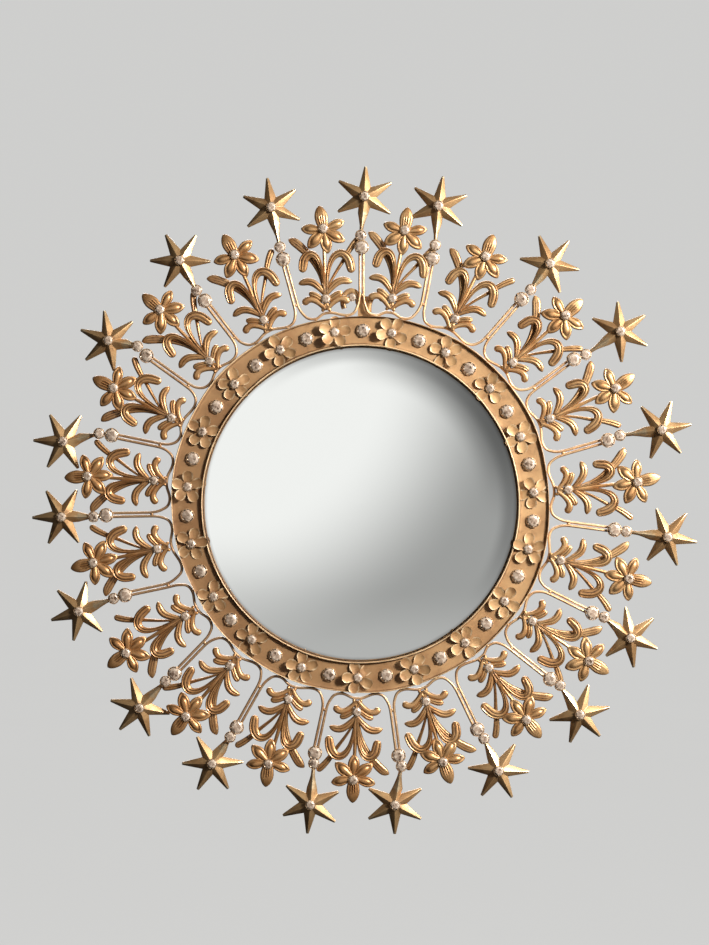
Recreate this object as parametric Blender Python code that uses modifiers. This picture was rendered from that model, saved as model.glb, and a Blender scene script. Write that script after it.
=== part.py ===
"""Jewelled sunburst wall mirror: a convex round glass in a shallow gilt tray, with wire stems, stars
and cast lily sprays round it.

Metres, +Z up. The mirror hangs flat on a wall at Y = 0 and faces -Y. The origin is the centre of
its back. Angles run clockwise from the top as the mirror is looked at, and each ray of the object is
modelled in its own frame: X is sideways (clockwise), Z is outward and -Y is towards the viewer.
"""

import math
from typing import NamedTuple

import bmesh
import bpy
from mathutils import Matrix, Vector

MM = 0.001
RAYS = 19
STEP = 360 / RAYS
FIRST_RAY = 0.9
RING_SIDES = 2 * RAYS
MERGE = 0.00001

# Depths are measured from the wall towards the viewer, in millimetres
PLATE_FRONT = 2.0
TRAY_BACK = 2.4
TRAY_FLOOR = 3.6
LIP_FRONT = 7.8
GLASS_BACK = 2.4
GLASS_EDGE = 5.0
GLASS_CROWN = 11.0
WIRE_DEPTH = 4.5
SPRAY_BACK = 5.7
STAR_BACK = 4.0
STAR_CROWN = 9.5
HEAD_BACK = 5.7

# Radii from the centre, in millimetres
PLATE_RADIUS = 127.0
GLASS_RADIUS = 111.0
GLASS_SHARES = (0.55, 1.0)
INNER_LIP = 110.8
INNER_WALL = 111.8
INNER_FLOOR = 113.6
OUTER_WALL = 132.0
OUTER_LIP = 134.2
LIP_WIDTH = 1.6
TRAY_MIDDLE = 121.8
WIRE_RIM = 135.4

# Stones, in millimetres
LARGE_STONE = 4.8
MIDDLE_STONE = 3.7
SMALL_STONE = 3.2
TABLE_SHARE = 0.6
STONE_SIDES = 6

WIRE_RADIUS = 0.8
LEG_SPACING = 1.3
LEG_SHORT_OF_HEAD = 1.0
LEG_FLARE = 2.9
LEG_FLARE_REACH = 138.0
LEG_REST = 8.0
SADDLE_HALF = 3.0
SADDLE_REACH = 137.2
STEM_FOOT_REACH = 142.5
SPRAY_FOOT_REACH = 137.6

STAR_POINTS = 6
STAR_REACH = 21.0
STAR_NOTCH = 8.6
STAR_STONE_RISE = 2.4
SMALL_ABOVE_LARGE = 8.6
HEAD_STONE_RISE = 4.6
NECK_STONE_BACK = 4.8
NECK_STONE_RISE = 4.6
TAIL_SHORT_OF_HEAD = 1.0

PETALS = 6
PETAL_REACH = 15.6
PETAL_NOTCH = 7.0
BUD_REACH = 18.4
STONE_TOWARDS_BUD = 3.4
FLOWER_BACK = 6.9
FLOWER_CROWN = 9.8
FLOWER_STONE = 12.0

TRAY_PETALS = 5
TRAY_FLOWER_REACH = 8.9
TRAY_FLOWER_NOTCH = 4.4
TRAY_FLOWER_DEPTHS = (3.3, 6.4, 8.8)
TRAY_FLOWER_TURN = 17
TRAY_STONE_DEPTHS = (3.2, 8.4)

# The hanger at the top of the back plate, in millimetres
TAB = ((-5, 120), (-4, 142), (-2, 147), (4, 147), (7, 142), (8, 120))
TAB_DEPTHS = (0.2, 2.2)
ARM_DEPTHS = (0.6, 2.6)
ARM_RADII = (3.4, 6.2)
ARM_CORNERS = (4, 5)
LEFT_CURL = ((-6.5, 143.0), (-110, 100))
RIGHT_CURL = ((10.5, 140.5), (-100, 110))
TONGUE = ((-9.5, 143.4), (-9.5, 149.4), (-2.5, 149.4), (-2.5, 143.4))
TONGUE_DEPTHS = (1.2, 2.4)
HANGER_STONE = (-6.2, 145.6)
HANGER_STONE_DEPTHS = (2.2, 4.6)


class Ray(NamedTuple):
    """How one stem and its star stand, in millimetres, and degrees clockwise."""

    foot: float
    head: float
    head_reach: float
    star: float
    star_reach: float
    turn: float


class Lean(NamedTuple):
    """How one spray leans, in millimetres, and degrees clockwise. The flower's place is its stone's."""

    foot: float
    flower: float
    reach: float
    turn: float


class Leaf(NamedTuple):
    """One right-hand leaf of the casting: the step of the stem that it springs from, its middle line as
    sideways, outward, depth and width, and how far its ridge stands up. A width of 0 is a point."""

    step: int
    line: tuple
    ridge: float


class Dent(NamedTuple):
    """A place where the thin rim is pushed in, in degrees and millimetres."""

    angle: float
    depth: float
    spread: float


# The stems are bent by hand, so each star leans its own way
RAY_LEANS = (
    Ray(-1.5, -2.0, 180.0, -0.5, 215.5, 1),
    Ray(-6.0, -11.0, 179.0, -19.5, 215.0, -11),
    Ray(-3.5, -2.0, 182.5, -2.0, 214.5, 1),
    Ray(-3.5, -6.0, 180.5, -5.0, 218.5, -1),
    Ray(-2.0, -3.5, 179.0, -2.0, 217.5, 3),
    Ray(-0.5, 0.5, 179.0, 2.0, 216.5, 4),
    Ray(1.0, 2.0, 179.5, 6.5, 211.0, -2),
    Ray(0.5, -2.5, 181.0, 1.0, 213.0, 4),
    Ray(-0.5, 0.5, 178.0, 0.5, 210.5, 1),
    Ray(-0.5, 0.0, 178.5, 7.5, 212.0, 9),
    Ray(-1.0, 0.0, 177.5, -3.5, 213.5, -4),
    Ray(-1.0, -1.0, 179.0, 1.5, 209.5, 0),
    Ray(0.0, -2.0, 176.5, -3.5, 210.5, -6),
    Ray(-0.5, 5.0, 177.0, 7.0, 211.0, 5),
    Ray(2.5, 4.0, 178.5, 5.0, 209.5, 2),
    Ray(3.0, 1.0, 181.0, -12.0, 212.5, -13),
    Ray(1.0, 2.0, 182.5, -4.0, 210.5, -13),
    Ray(-1.0, -1.5, 179.5, 1.5, 212.5, 8),
    Ray(0.0, 1.5, 180.0, 5.0, 217.0, 10),
)
SPRAY_LEANS = (
    Lean(-4.0, -4.0, 194.0, -3),
    Lean(-5.5, -8.5, 194.0, -10),
    Lean(-3.0, -3.0, 195.0, -2),
    Lean(-3.5, -5.5, 196.0, -14),
    Lean(0.0, -2.5, 194.5, -8),
    Lean(1.5, 1.5, 195.0, -4),
    Lean(0.5, 1.5, 194.0, -2),
    Lean(-3.0, -2.0, 190.5, -1),
    Lean(-1.0, 1.0, 189.5, -2),
    Lean(0.0, 2.0, 193.0, 1),
    Lean(1.5, -1.0, 193.0, -13),
    Lean(0.0, 2.0, 192.5, -1),
    Lean(-1.0, -0.5, 194.5, -6),
    Lean(2.0, 3.0, 191.5, -1),
    Lean(2.5, 0.5, 192.0, -9),
    Lean(-0.5, 2.0, 191.0, 1),
    Lean(-0.5, 2.0, 195.5, -3),
    Lean(-1.0, 2.5, 195.5, -2),
    Lean(-3.5, 3.0, 194.5, -2),
)

# The stem of a spray, from its foot outward: outward, width and how far its ridge stands up. The high
# step is the stone in its claws.
STEM = (
    (1.0, 4.6, 1.6),
    (4.6, 4.8, 1.8),
    (7.6, 6.4, 4.6),
    (11.0, 4.2, 2.2),
    (16.0, 4.0, 2.4),
    (20.0, 3.8, 2.4),
    (26.0, 3.6, 2.4),
    (53.0, 2.6, 2.4),
)

# The right-hand leaves of a spray, from its foot outward; the left-hand ones mirror them
LEAVES = (
    Leaf(0, ((7.6, 7.4, 6.0, 3.8), (15.6, 5.6, 6.2, 0.0)), 2.2),
    Leaf(2, ((7.4, 11.0, 6.2, 3.4), (12.6, 13.2, 6.6, 0.0)), 2.0),
    Leaf(3, ((8.6, 21.6, 6.3, 4.8), (18.8, 20.0, 6.6, 0.0)), 2.4),
    Leaf(4, ((14.2, 37.2, 3.4, 3.2), (24.4, 51.0, 1.4, 0.0)), 1.6),
    Leaf(5, ((7.0, 39.0, 6.1, 4.0), (15.8, 40.4, 6.6, 5.8), (18.6, 26.4, 6.4, 0.0)), 2.2),
)

RIM_DENTS = (
    Dent(0, 2.6, 15),
    Dent(87, 1.7, 10),
    Dent(150, 1.2, 22),
    Dent(195, 1.3, 22),
    Dent(252, 2.4, 18),
)

# Colour and roughness of each material
GILT = ((0.62, 0.40, 0.19), 0.38)
DARK_GILT = ((0.36, 0.25, 0.13), 0.55)
SILVERED = ((0.80, 0.82, 0.81), 0.03)


def point(side, outward, depth):
    """A point of a ray's own frame, from millimetres."""
    return Vector((side * MM, -depth * MM, outward * MM))


def turned(degrees, place=Vector()):
    """Turns a shape clockwise about the line of sight through its own origin, then moves it."""
    return Matrix.Translation(place) @ Matrix.Rotation(math.radians(degrees), 4, "Y")


def ray_frame(number):
    """From the frame of a ray, counted from 0, to the object's."""
    return turned(FIRST_RAY + STEP * number)


def shell(corners, faces):
    """A closed body from its corners and faces, with the faces turned outward."""
    body = bmesh.new()
    made = [body.verts.new(corner) for corner in corners]
    for face in faces:
        body.faces.new([made[i] for i in face])
    bmesh.ops.recalc_face_normals(body, faces=body.faces)
    return body


def stone(radius, place, depths):
    """A claw-set stone as a low cone cut off at its table.

    It has six corners, one of them outward, and covers as much as the round stone of that radius.
    """
    back, front = depths
    corner = radius * math.sqrt(2 * math.pi / (STONE_SIDES * math.sin(2 * math.pi / STONE_SIDES))) * MM
    body = bmesh.new()
    bmesh.ops.create_cone(
        body,
        cap_ends=True,
        segments=STONE_SIDES,
        radius1=corner,
        radius2=corner * TABLE_SHARE,
        depth=(front - back) * MM,
        matrix=Matrix.Translation(point(*place, (front + back) / 2)) @ Matrix.Rotation(math.pi / 2, 4, "X"),
    )
    return body


def spray_leaves():
    """The stem and leaves of a spray as one body, from its foot outward.

    The stem is a three-cornered bar. Each leaf grows out of one three-cornered patch of its side, as a
    loft of three-cornered sections: an outer edge and an inner edge at the back, and a ridge in front.
    """
    corners = []
    for outward, width, ridge in STEM:
        corners += [point(side, outward, SPRAY_BACK) for side in (-width / 2, width / 2)]
        corners.append(point(0, outward, SPRAY_BACK + ridge))
    end = len(corners)
    faces = [(0, 1, 2), (end - 1, end - 2, end - 3)]
    leaves = {leaf.step: leaf for leaf in LEAVES}
    for step in range(len(STEM) - 1):
        low = 3 * step
        high = low + 3
        faces.append((low, low + 1, high + 1, high))
        lower_ridge = min((low, high), key=lambda first: STEM[first // 3][2]) + 2
        for edge, side in ((0, -1), (1, 1)):
            root = (low + edge, high + edge, lower_ridge)
            rest = high + edge if lower_ridge == low + 2 else low + edge
            faces.append((rest, high + 2, low + 2))
            if step in leaves:
                grow_leaf(leaves[step], side, root, corners, faces)
            else:
                faces.append(root)
    return shell(corners, faces)


def grow_leaf(leaf, side, root, corners, faces):
    """Adds one leaf to a list of corners and faces. side is 1 for a right-hand leaf, -1 for a left."""
    line = [Vector((side * x, z)) for x, z, _, _ in leaf.line]
    start = Vector((0, STEM[leaf.step][0]))
    section = root
    for i, (_, _, depth, width) in enumerate(leaf.line):
        before = line[i - 1] if i else start
        here = len(corners)
        if width == 0:
            corners.append(point(*line[i], depth + leaf.ridge / 2))
            faces += [(section[j], section[j - 1], here) for j in range(3)]
            return
        ahead = line[i + 1] - before
        outer = Vector((ahead.y, -ahead.x)).normalized() * side * width / 2
        corners.append(point(*(line[i] + outer), depth))
        corners.append(point(*(line[i] - outer), depth))
        corners.append(point(*line[i], depth + leaf.ridge))
        new = (here, here + 1, here + 2)
        faces += [(section[j], section[j - 1], new[j - 1], new[j]) for j in range(3)]
        section = new


def pointed_dome(tips, notch, stone_place, depths):
    """A star or flower with a point at each tip and a notch between two tips.

    Args:
        tips: for each point, its angle in degrees and its reach
        notch: how far the notches are from the middle
        stone_place: radius of the stone in the middle, and its offset towards the first tip
        depths: those of the outline, of the foot of the stone and of its table
    """
    count = len(tips)
    radius, offset = stone_place
    back, front, table = depths

    def spot(angle, reach, depth, shift=0):
        """A corner at an angle clockwise from the first tip."""
        turn = math.radians(angle)
        return point(reach * math.sin(turn), reach * math.cos(turn) + shift, depth)

    corners = [spot(angle, reach, back) for angle, reach in tips]
    corners += [spot((i + 0.5) * 360 / count, notch, back) for i in range(count)]
    for share, depth in ((1, front), (TABLE_SHARE, table)):
        corners += [spot(i * 360 / count, radius * share, depth, offset) for i in range(count)]
    outline = [corner for i in range(count) for corner in (i, i + count)]
    faces = [tuple(outline), tuple(range(3 * count, 4 * count))]
    for i in range(count):
        following = (i + 1) % count
        foot = 2 * count + i
        next_foot = 2 * count + following
        faces.append((i, i + count, foot))
        faces.append((i + count, next_foot, foot))
        faces.append((i + count, following, next_foot))
        faces.append((foot, next_foot, next_foot + count, foot + count))
    return shell(corners, faces)


def even_tips(count, reach):
    """Tips of one reach, evenly round."""
    return [(360 * i / count, reach) for i in range(count)]


def rim_dent(degrees):
    """How far the outer rim is pushed in at an angle from the top, in millimetres."""
    total = 0
    for dent in RIM_DENTS:
        away = (degrees - dent.angle + 180) % 360 - 180
        total += dent.depth * math.exp(-((away / dent.spread) ** 2) / 2)
    return total


def placed(body, matrix):
    """The same body, moved."""
    bmesh.ops.transform(body, matrix=matrix, verts=body.verts)
    return body


def as_object(name, body):
    """A new object that holds the body, outside any collection."""
    mesh = bpy.data.meshes.new(name)
    body.to_mesh(mesh)
    body.free()
    return bpy.data.objects.new(name, mesh)


def fused(name, bodies, base=None):
    """One closed mesh from bodies that overlap, joined with an exact Boolean."""
    scene_root = bpy.context.scene.collection
    shapes = [as_object(f"{name}_{i}", body) for i, body in enumerate(bodies)]
    joined = base or shapes.pop(0)
    others = bpy.data.collections.new(f"{name}_others")
    scene_root.children.link(others)
    for shape in shapes:
        others.objects.link(shape)
    scene_root.objects.link(joined)
    union = joined.modifiers.new("Union", "BOOLEAN")
    union.operation = "UNION"
    union.operand_type = "COLLECTION"
    union.collection = others
    union.solver = "EXACT"
    bpy.context.view_layer.update()
    evaluated = joined.evaluated_get(bpy.context.evaluated_depsgraph_get())
    mesh = bpy.data.meshes.new_from_object(evaluated)
    mesh.transform(joined.matrix_world)
    mesh.name = name
    for shape in (joined, *shapes):
        bpy.data.objects.remove(shape)
    bpy.data.collections.remove(others)
    tidy = bmesh.new()
    tidy.from_mesh(mesh)
    bmesh.ops.remove_doubles(tidy, verts=tidy.verts, dist=MERGE)
    bmesh.ops.dissolve_degenerate(tidy, edges=tidy.edges, dist=MERGE)
    tidy.to_mesh(mesh)
    tidy.free()
    return mesh


def finish(name, mesh, look, collection):
    """Puts a mesh in the collection as one named piece with its material."""
    mesh.materials.clear()
    mesh.materials.append(look)
    piece = bpy.data.objects.new(name, mesh)
    collection.objects.link(piece)
    return piece


def material(name, colour, roughness):
    """A plain metal."""
    look = bpy.data.materials.new(name)
    look.use_nodes = True
    shader = look.node_tree.nodes["Principled BSDF"]
    shader.inputs["Base Color"].default_value = (*colour, 1)
    shader.inputs["Roughness"].default_value = roughness
    shader.inputs["Metallic"].default_value = 1.0
    look.diffuse_color = (*colour, 1)
    return look


def turned_profile(name, profile, closed):
    """An object turned about the line of sight from a profile of radius and depth."""
    mesh = bpy.data.meshes.new(name)
    count = len(profile)
    edges = [(i, i + 1) for i in range(count - 1)] + ([(count - 1, 0)] if closed else [])
    mesh.from_pydata([(radius * MM, 0, depth * MM) for radius, depth in profile], edges, [])
    piece = bpy.data.objects.new(name, mesh)
    piece.rotation_euler = (math.pi / 2, 0, 0)
    screw = piece.modifiers.new("Turn", "SCREW")
    screw.steps = screw.render_steps = RING_SIDES
    screw.use_merge_vertices = True
    screw.merge_threshold = MERGE
    screw.use_smooth_shade = False
    return piece


def tray():
    """The ring-shaped tray: a floor between two thin walls that lean away from each other."""
    profile = (
        (INNER_LIP, LIP_FRONT),
        (INNER_WALL, TRAY_BACK),
        (OUTER_WALL, TRAY_BACK),
        (OUTER_LIP, LIP_FRONT),
        (OUTER_LIP - LIP_WIDTH, LIP_FRONT),
        (OUTER_WALL - LIP_WIDTH, TRAY_FLOOR),
        (INNER_FLOOR, TRAY_FLOOR),
        (INNER_LIP + LIP_WIDTH, LIP_FRONT),
    )
    ring = turned_profile("tray", tuple(reversed(profile)), closed=True)
    ornaments = []
    for number in range(RAYS):
        for half in (0, 0.5):
            place = ray_frame(number + half) @ Matrix.Translation(point(0, TRAY_MIDDLE, 0))
            if half:
                petals = even_tips(TRAY_PETALS, TRAY_FLOWER_REACH)
                body = pointed_dome(petals, TRAY_FLOWER_NOTCH, (MIDDLE_STONE, 0), TRAY_FLOWER_DEPTHS)
                ornaments.append(placed(body, place @ turned(TRAY_FLOWER_TURN * number)))
            else:
                ornaments.append(placed(stone(LARGE_STONE, (0, 0), TRAY_STONE_DEPTHS), place))
    mesh = fused("frame_ring", ornaments, base=ring)
    for corner in mesh.vertices:
        reach = math.hypot(corner.co.x, corner.co.z)
        if reach > (OUTER_WALL - 2 * LIP_WIDTH) * MM:
            pushed = rim_dent(math.degrees(math.atan2(corner.co.x, corner.co.z))) * MM
            corner.co.x *= 1 - pushed / reach
            corner.co.z *= 1 - pushed / reach
    return mesh


def glass():
    """The mirror glass: a round plate whose face swells towards the viewer."""
    rise = GLASS_CROWN - GLASS_EDGE
    sphere = (GLASS_RADIUS**2 + rise**2) / (2 * rise)
    profile = [(0, GLASS_CROWN)]
    for share in GLASS_SHARES:
        radius = GLASS_RADIUS * share
        profile.append((radius, GLASS_CROWN - sphere + math.sqrt(sphere**2 - radius**2)))
    profile += [(GLASS_RADIUS, GLASS_BACK), (0, GLASS_BACK)]
    return turned_profile("mirror_glass", profile, closed=False)


def rounded(centre, radius, start, end, count):
    """Points of an arc, clockwise from the top, as sideways and outward."""
    angles = [math.radians(start + (end - start) * i / (count - 1)) for i in range(count)]
    return [(centre[0] + radius * math.sin(a), centre[1] + radius * math.cos(a)) for a in angles]


def slab(outline, depths):
    """A flat outline with thickness, between two depths."""
    back, front = depths
    count = len(outline)
    corners = [point(*corner, back) for corner in outline] + [point(*corner, front) for corner in outline]
    faces = [tuple(range(count)), tuple(reversed(range(count, 2 * count)))]
    faces += [(i, i + count, (i + 1) % count + count, (i + 1) % count) for i in range(count)]
    return shell(corners, faces)


def curled_arm(centre, sweep):
    """One arm of the hanger: a flat strip that curls round a centre."""
    start, end = sweep
    inner, outer = ARM_RADII
    few, many = ARM_CORNERS
    return slab(rounded(centre, outer, start, end, many) + rounded(centre, inner, end, start, few), ARM_DEPTHS)


def back():
    """The round back plate with the hanging tab, its two curled arms and the small stone on one."""
    rim = rounded((0, 0), PLATE_RADIUS, 0, 360 - 360 / RING_SIDES, RING_SIDES)
    bodies = [
        slab(rim, (0, PLATE_FRONT)),
        slab(TAB, TAB_DEPTHS),
        curled_arm(*LEFT_CURL),
        curled_arm(*RIGHT_CURL),
        slab(TONGUE, TONGUE_DEPTHS),
        stone(SMALL_STONE, HANGER_STONE, HANGER_STONE_DEPTHS),
    ]
    return fused("back_plate", bodies)


def star(number):
    """One star with its neck and the two stones at the head of the stem, in its ray's frame."""
    lean = RAY_LEANS[number]
    centre = Vector((lean.star, lean.star_reach))
    head = Vector((lean.head, lean.head_reach))
    along = (centre - head).normalized()
    neck = head + along * TAIL_SHORT_OF_HEAD - centre
    tips = even_tips(STAR_POINTS, STAR_REACH)
    tips[STAR_POINTS // 2] = (math.degrees(math.atan2(neck.x, neck.y)) - lean.turn, neck.length)
    dome = pointed_dome(
        tips, STAR_NOTCH, (SMALL_STONE, 0), (STAR_BACK, STAR_CROWN, STAR_CROWN + STAR_STONE_RISE)
    )
    stem_end = turned(math.degrees(math.atan2(along.x, along.y)), point(*head, 0))
    parts = [
        placed(dome, turned(lean.turn, point(*centre, 0))),
        placed(stone(LARGE_STONE, (0, 0), (HEAD_BACK, HEAD_BACK + HEAD_STONE_RISE)), stem_end),
        placed(
            stone(
                MIDDLE_STONE,
                (0, SMALL_ABOVE_LARGE),
                (NECK_STONE_BACK, NECK_STONE_BACK + NECK_STONE_RISE),
            ),
            stem_end,
        ),
    ]
    return fused(f"star_{number + 1:02d}", parts)


def spray_casting(lean):
    """One lily spray, in the frame of its ray. The casting leans about its foot as one."""
    height = lean.reach - SPRAY_FOOT_REACH
    tilt = math.degrees(math.atan2(lean.flower - lean.foot, height))
    stands = turned(tilt, point(lean.foot, SPRAY_FOOT_REACH, 0))
    stone_to_middle = Matrix.Translation(point(0, -STONE_TOWARDS_BUD, 0))
    tips = even_tips(PETALS, PETAL_REACH)
    tips[0] = (0, BUD_REACH)
    flower = pointed_dome(
        tips,
        PETAL_NOTCH,
        (SMALL_STONE, STONE_TOWARDS_BUD),
        (FLOWER_BACK, FLOWER_CROWN, FLOWER_STONE),
    )
    return [
        placed(spray_leaves(), stands),
        placed(flower, turned(lean.turn, point(lean.flower, lean.reach, 0)) @ stone_to_middle),
    ]


def wire_route(number):
    """The route of one U-shaped wire, in the frame of its own ray: up the stem on its left, round
    under the spray and up the stem on its right."""
    left, right = RAY_LEANS[number], RAY_LEANS[(number + 1) % RAYS]
    spray = SPRAY_LEANS[number]

    def leg(lean, sign):
        """One leg from its head down to where it leaves the rim. sign is 1 for the left leg."""
        yield lean.head + sign * LEG_SPACING, lean.head_reach - LEG_SHORT_OF_HEAD
        yield lean.foot + sign * LEG_SPACING, STEM_FOOT_REACH
        yield lean.foot + sign * LEG_FLARE, LEG_FLARE_REACH
        yield lean.foot + sign * LEG_REST, WIRE_RIM

    def bent(corner, half):
        """Bends a leg's point round the rim, into the frame of the spray."""
        side, reach = corner
        angle = math.radians(half * STEP / 2)
        if reach == WIRE_RIM:
            angle += side / reach
            side = 0
            reach -= rim_dent(FIRST_RAY + STEP * (number + 0.5) + math.degrees(angle))
        return (
            side * math.cos(angle) + reach * math.sin(angle),
            reach * math.cos(angle) - side * math.sin(angle),
        )

    rising = [bent(corner, -1) for corner in leg(left, 1)]
    falling = [bent(corner, 1) for corner in leg(right, -1)]
    saddle = [(spray.foot + side, SADDLE_REACH) for side in (-SADDLE_HALF, SADDLE_HALF)]
    return rising + saddle + falling[::-1]


def wire(number, look, collection):
    """One U-shaped wire as a curve with a round section."""
    name = f"wire_{number + 1:02d}"
    curve = bpy.data.curves.new(name, "CURVE")
    curve.dimensions = "3D"
    curve.bevel_depth = WIRE_RADIUS * MM
    curve.bevel_resolution = 0
    curve.use_fill_caps = True
    route = wire_route(number)
    spline = curve.splines.new("POLY")
    spline.points.add(len(route) - 1)
    for knot, corner in zip(spline.points, route):
        knot.co = (*point(*corner, WIRE_DEPTH), 1)
    curve.materials.append(look)
    piece = bpy.data.objects.new(name, curve)
    piece.matrix_world = ray_frame(number + 0.5)
    collection.objects.link(piece)


def main():
    """Builds the mirror."""
    for old in list(bpy.data.objects):
        bpy.data.objects.remove(old)
    mirror = bpy.data.collections.new("sunburst_wall_mirror")
    bpy.context.scene.collection.children.link(mirror)
    gilt = material("aged_gilt", *GILT)
    dull = material("dull_gilt", *DARK_GILT)
    silver = material("silvered_glass", *SILVERED)
    finish("back_plate", back(), dull, mirror)
    disc = glass()
    disc.data.materials.append(silver)
    mirror.objects.link(disc)
    finish("frame_ring", tray(), gilt, mirror)
    for number in range(RAYS):
        piece = finish(f"star_{number + 1:02d}", star(number), gilt, mirror)
        piece.matrix_world = ray_frame(number)
        name = f"spray_{number + 1:02d}"
        piece = finish(name, fused(name, spray_casting(SPRAY_LEANS[number])), gilt, mirror)
        piece.matrix_world = ray_frame(number + 0.5)
        wire(number, gilt, mirror)


main()
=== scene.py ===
"""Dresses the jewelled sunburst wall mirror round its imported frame.

The mirror hangs flat on a wall at Y = 0 and faces -Y. Sizes in the classes are in millimetres, unless
they say otherwise. A shape is worked out face-on, as sideways, outward and depth towards the viewer,
and turned into its place clockwise from the top. The finished meshes are in metres.
"""

import logging
import math
from collections.abc import Iterable, Sequence
from dataclasses import dataclass, field, replace
from enum import Enum
from typing import Any, NamedTuple

import bmesh
import bpy
import numpy as np
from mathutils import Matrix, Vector

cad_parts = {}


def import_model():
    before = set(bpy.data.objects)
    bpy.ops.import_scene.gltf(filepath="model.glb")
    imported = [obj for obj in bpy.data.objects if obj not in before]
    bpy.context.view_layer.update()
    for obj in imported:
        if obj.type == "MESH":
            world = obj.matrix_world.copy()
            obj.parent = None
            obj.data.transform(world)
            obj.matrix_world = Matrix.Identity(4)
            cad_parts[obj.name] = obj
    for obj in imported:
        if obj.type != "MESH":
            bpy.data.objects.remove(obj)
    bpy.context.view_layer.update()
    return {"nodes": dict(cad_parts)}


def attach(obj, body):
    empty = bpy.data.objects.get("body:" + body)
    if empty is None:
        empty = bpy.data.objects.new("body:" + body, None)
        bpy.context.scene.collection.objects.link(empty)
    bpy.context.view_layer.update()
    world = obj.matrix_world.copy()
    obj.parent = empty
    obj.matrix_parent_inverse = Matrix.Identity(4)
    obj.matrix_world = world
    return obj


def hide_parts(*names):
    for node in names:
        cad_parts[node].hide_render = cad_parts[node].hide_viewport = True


LOG = logging.getLogger("sunburst_mirror")

MM = 0.001
RAYS = 19
STEP = 360 / RAYS
FIRST_RAY = 0.9

Pair = tuple[float, float]
Triple = tuple[float, float, float]
Colour = Triple
Material = bpy.types.Material
Mesh = bpy.types.Mesh
Socket = bpy.types.NodeSocket


class Ray(NamedTuple):
    """How one stem and its star stand, in millimetres, and degrees clockwise."""

    foot: float  # Sideways, where the stem leaves the rim
    head: float  # Sideways, of the large stone at the stem's head
    head_reach: float  # Its radius from the mirror's centre
    star: float  # Sideways, of the star's middle
    star_reach: float
    turn: float  # Of the star about its middle
    small: float  # Sideways, of the small stone between the two
    small_reach: float


class Lean(NamedTuple):
    """How one spray leans, in millimetres, and degrees clockwise."""

    foot: float  # Sideways, of its foot
    flower: float  # Sideways, of its flower's stone
    reach: float  # That stone's radius from the mirror's centre
    turn: float  # Of the flower about its stone


class Dent(NamedTuple):
    """A place where the thin rim is pushed in, in degrees and millimetres."""

    angle: float
    depth: float
    spread: float


# The stems are bent by hand, so each star leans its own way
RAY_LEANS = tuple(Ray(*row) for row in (
    (-1.5, -2, 180, -0.5, 215.5, 1, -2.8, 188.3), (-6, -11, 179, -19.5, 215, -11, -12.4, 188.5),
    (-3.5, -2, 182.5, -2, 214.5, 1, -1.2, 191.8), (-3.5, -6, 180.5, -5, 218.5, -1, -4.3, 189.4),
    (-2, -3.5, 179, -2, 217.5, 3, -4.8, 188), (-0.5, 0.5, 179, 2, 216.5, 4, 1, 187.3),
    (1, 2, 179.5, 6.5, 211, -2, 1.2, 188.4), (0.5, -2.5, 181, 1, 213, 4, -4.1, 189),
    (-0.5, 0.5, 178, 0.5, 210.5, 1, -0.7, 185.9), (-0.5, 0, 178.5, 7.5, 212, 9, -0.9, 186.2),
    (-1, 0, 177.5, -3.5, 213.5, -4, -0.5, 184.9), (-1, -1, 179, 1.5, 209.5, 0, -0.3, 187.3),
    (0, -2, 176.5, -3.5, 210.5, -6, -1.8, 185), (-0.5, 5, 177, 7, 211, 5, 5.9, 185.4),
    (2.5, 4, 178.5, 5, 209.5, 2, 3.5, 187.5), (3, 1, 181, -12, 212.5, -13, -0.1, 189.9),
    (1, 2, 182.5, -4, 210.5, -13, 4, 191.5), (-1, -1.5, 179.5, 1.5, 212.5, 8, -1.7, 188.8),
    (0, 1.5, 180, 5, 217, 10, 2, 188.8),
))
SPRAY_LEANS = tuple(Lean(*row) for row in (
    (-4, -4, 194, -3), (-5.5, -8.5, 194, -10), (-3, -3, 195, -2), (-3.5, -5.5, 196, -14),
    (0, -2.5, 194.5, -8), (1.5, 1.5, 195, -4), (0.5, 1.5, 194, -2), (-3, -2, 190.5, -1),
    (-1, 1, 189.5, -2), (0, 2, 193, 1), (1.5, -1, 193, -13), (0, 2, 192.5, -1),
    (-1, -0.5, 194.5, -6), (2, 3, 191.5, -1), (2.5, 0.5, 192, -9), (-0.5, 2, 191, 1),
    (-0.5, 2, 195.5, -3), (-1, 2.5, 195.5, -2), (-3.5, 3, 194.5, -2),
))
RIM_DENTS = (Dent(0, 2.6, 15), Dent(87, 1.7, 10), Dent(150, 1.2, 22), Dent(195, 1.3, 22), Dent(252, 2.4, 18))


class Slot(Enum):
    """The record's material slots."""

    AGED_GILT = "aged_gilt"
    DULL_GILT = "dull_gilt"
    SILVERED_GLASS = "silvered_glass"


class Tip(Enum):
    """How a leaf ends: the length of its end as a share of its width, and how pointed it is."""

    BLUNT = (0.5, 0.5)
    OVAL = (1.05, 0.6)


def ray(number: float) -> float:
    """Direction of a ray, in degrees clockwise. The sprays stand at the halves between."""
    return FIRST_RAY + STEP * number


def turned(side: Any, outward: Any, turn: Any) -> tuple[Any, Any]:
    """Turns places clockwise about the origin, by an angle in radians, as the viewer sees it."""
    return side * np.cos(turn) + outward * np.sin(turn), outward * np.cos(turn) - side * np.sin(turn)


def around(radii: Any, turns: Any, depths: Any) -> np.ndarray:
    """Points round the origin, from radii, directions in radians clockwise, and depths."""
    return np.stack(np.broadcast_arrays(*turned(0 * radii, radii, turns), depths), axis=-1)


def even_turns(count: int, shift: float = 0.0) -> np.ndarray:
    """Even directions all round, in radians, the first turned by a share of a step."""
    return (np.arange(count) + shift) * 2 * math.pi / count


def hump(place: np.ndarray, middle: float, width: float) -> np.ndarray:
    """A smooth hump of height 1."""
    return np.exp(-(((place - middle) / width) ** 2))


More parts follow.
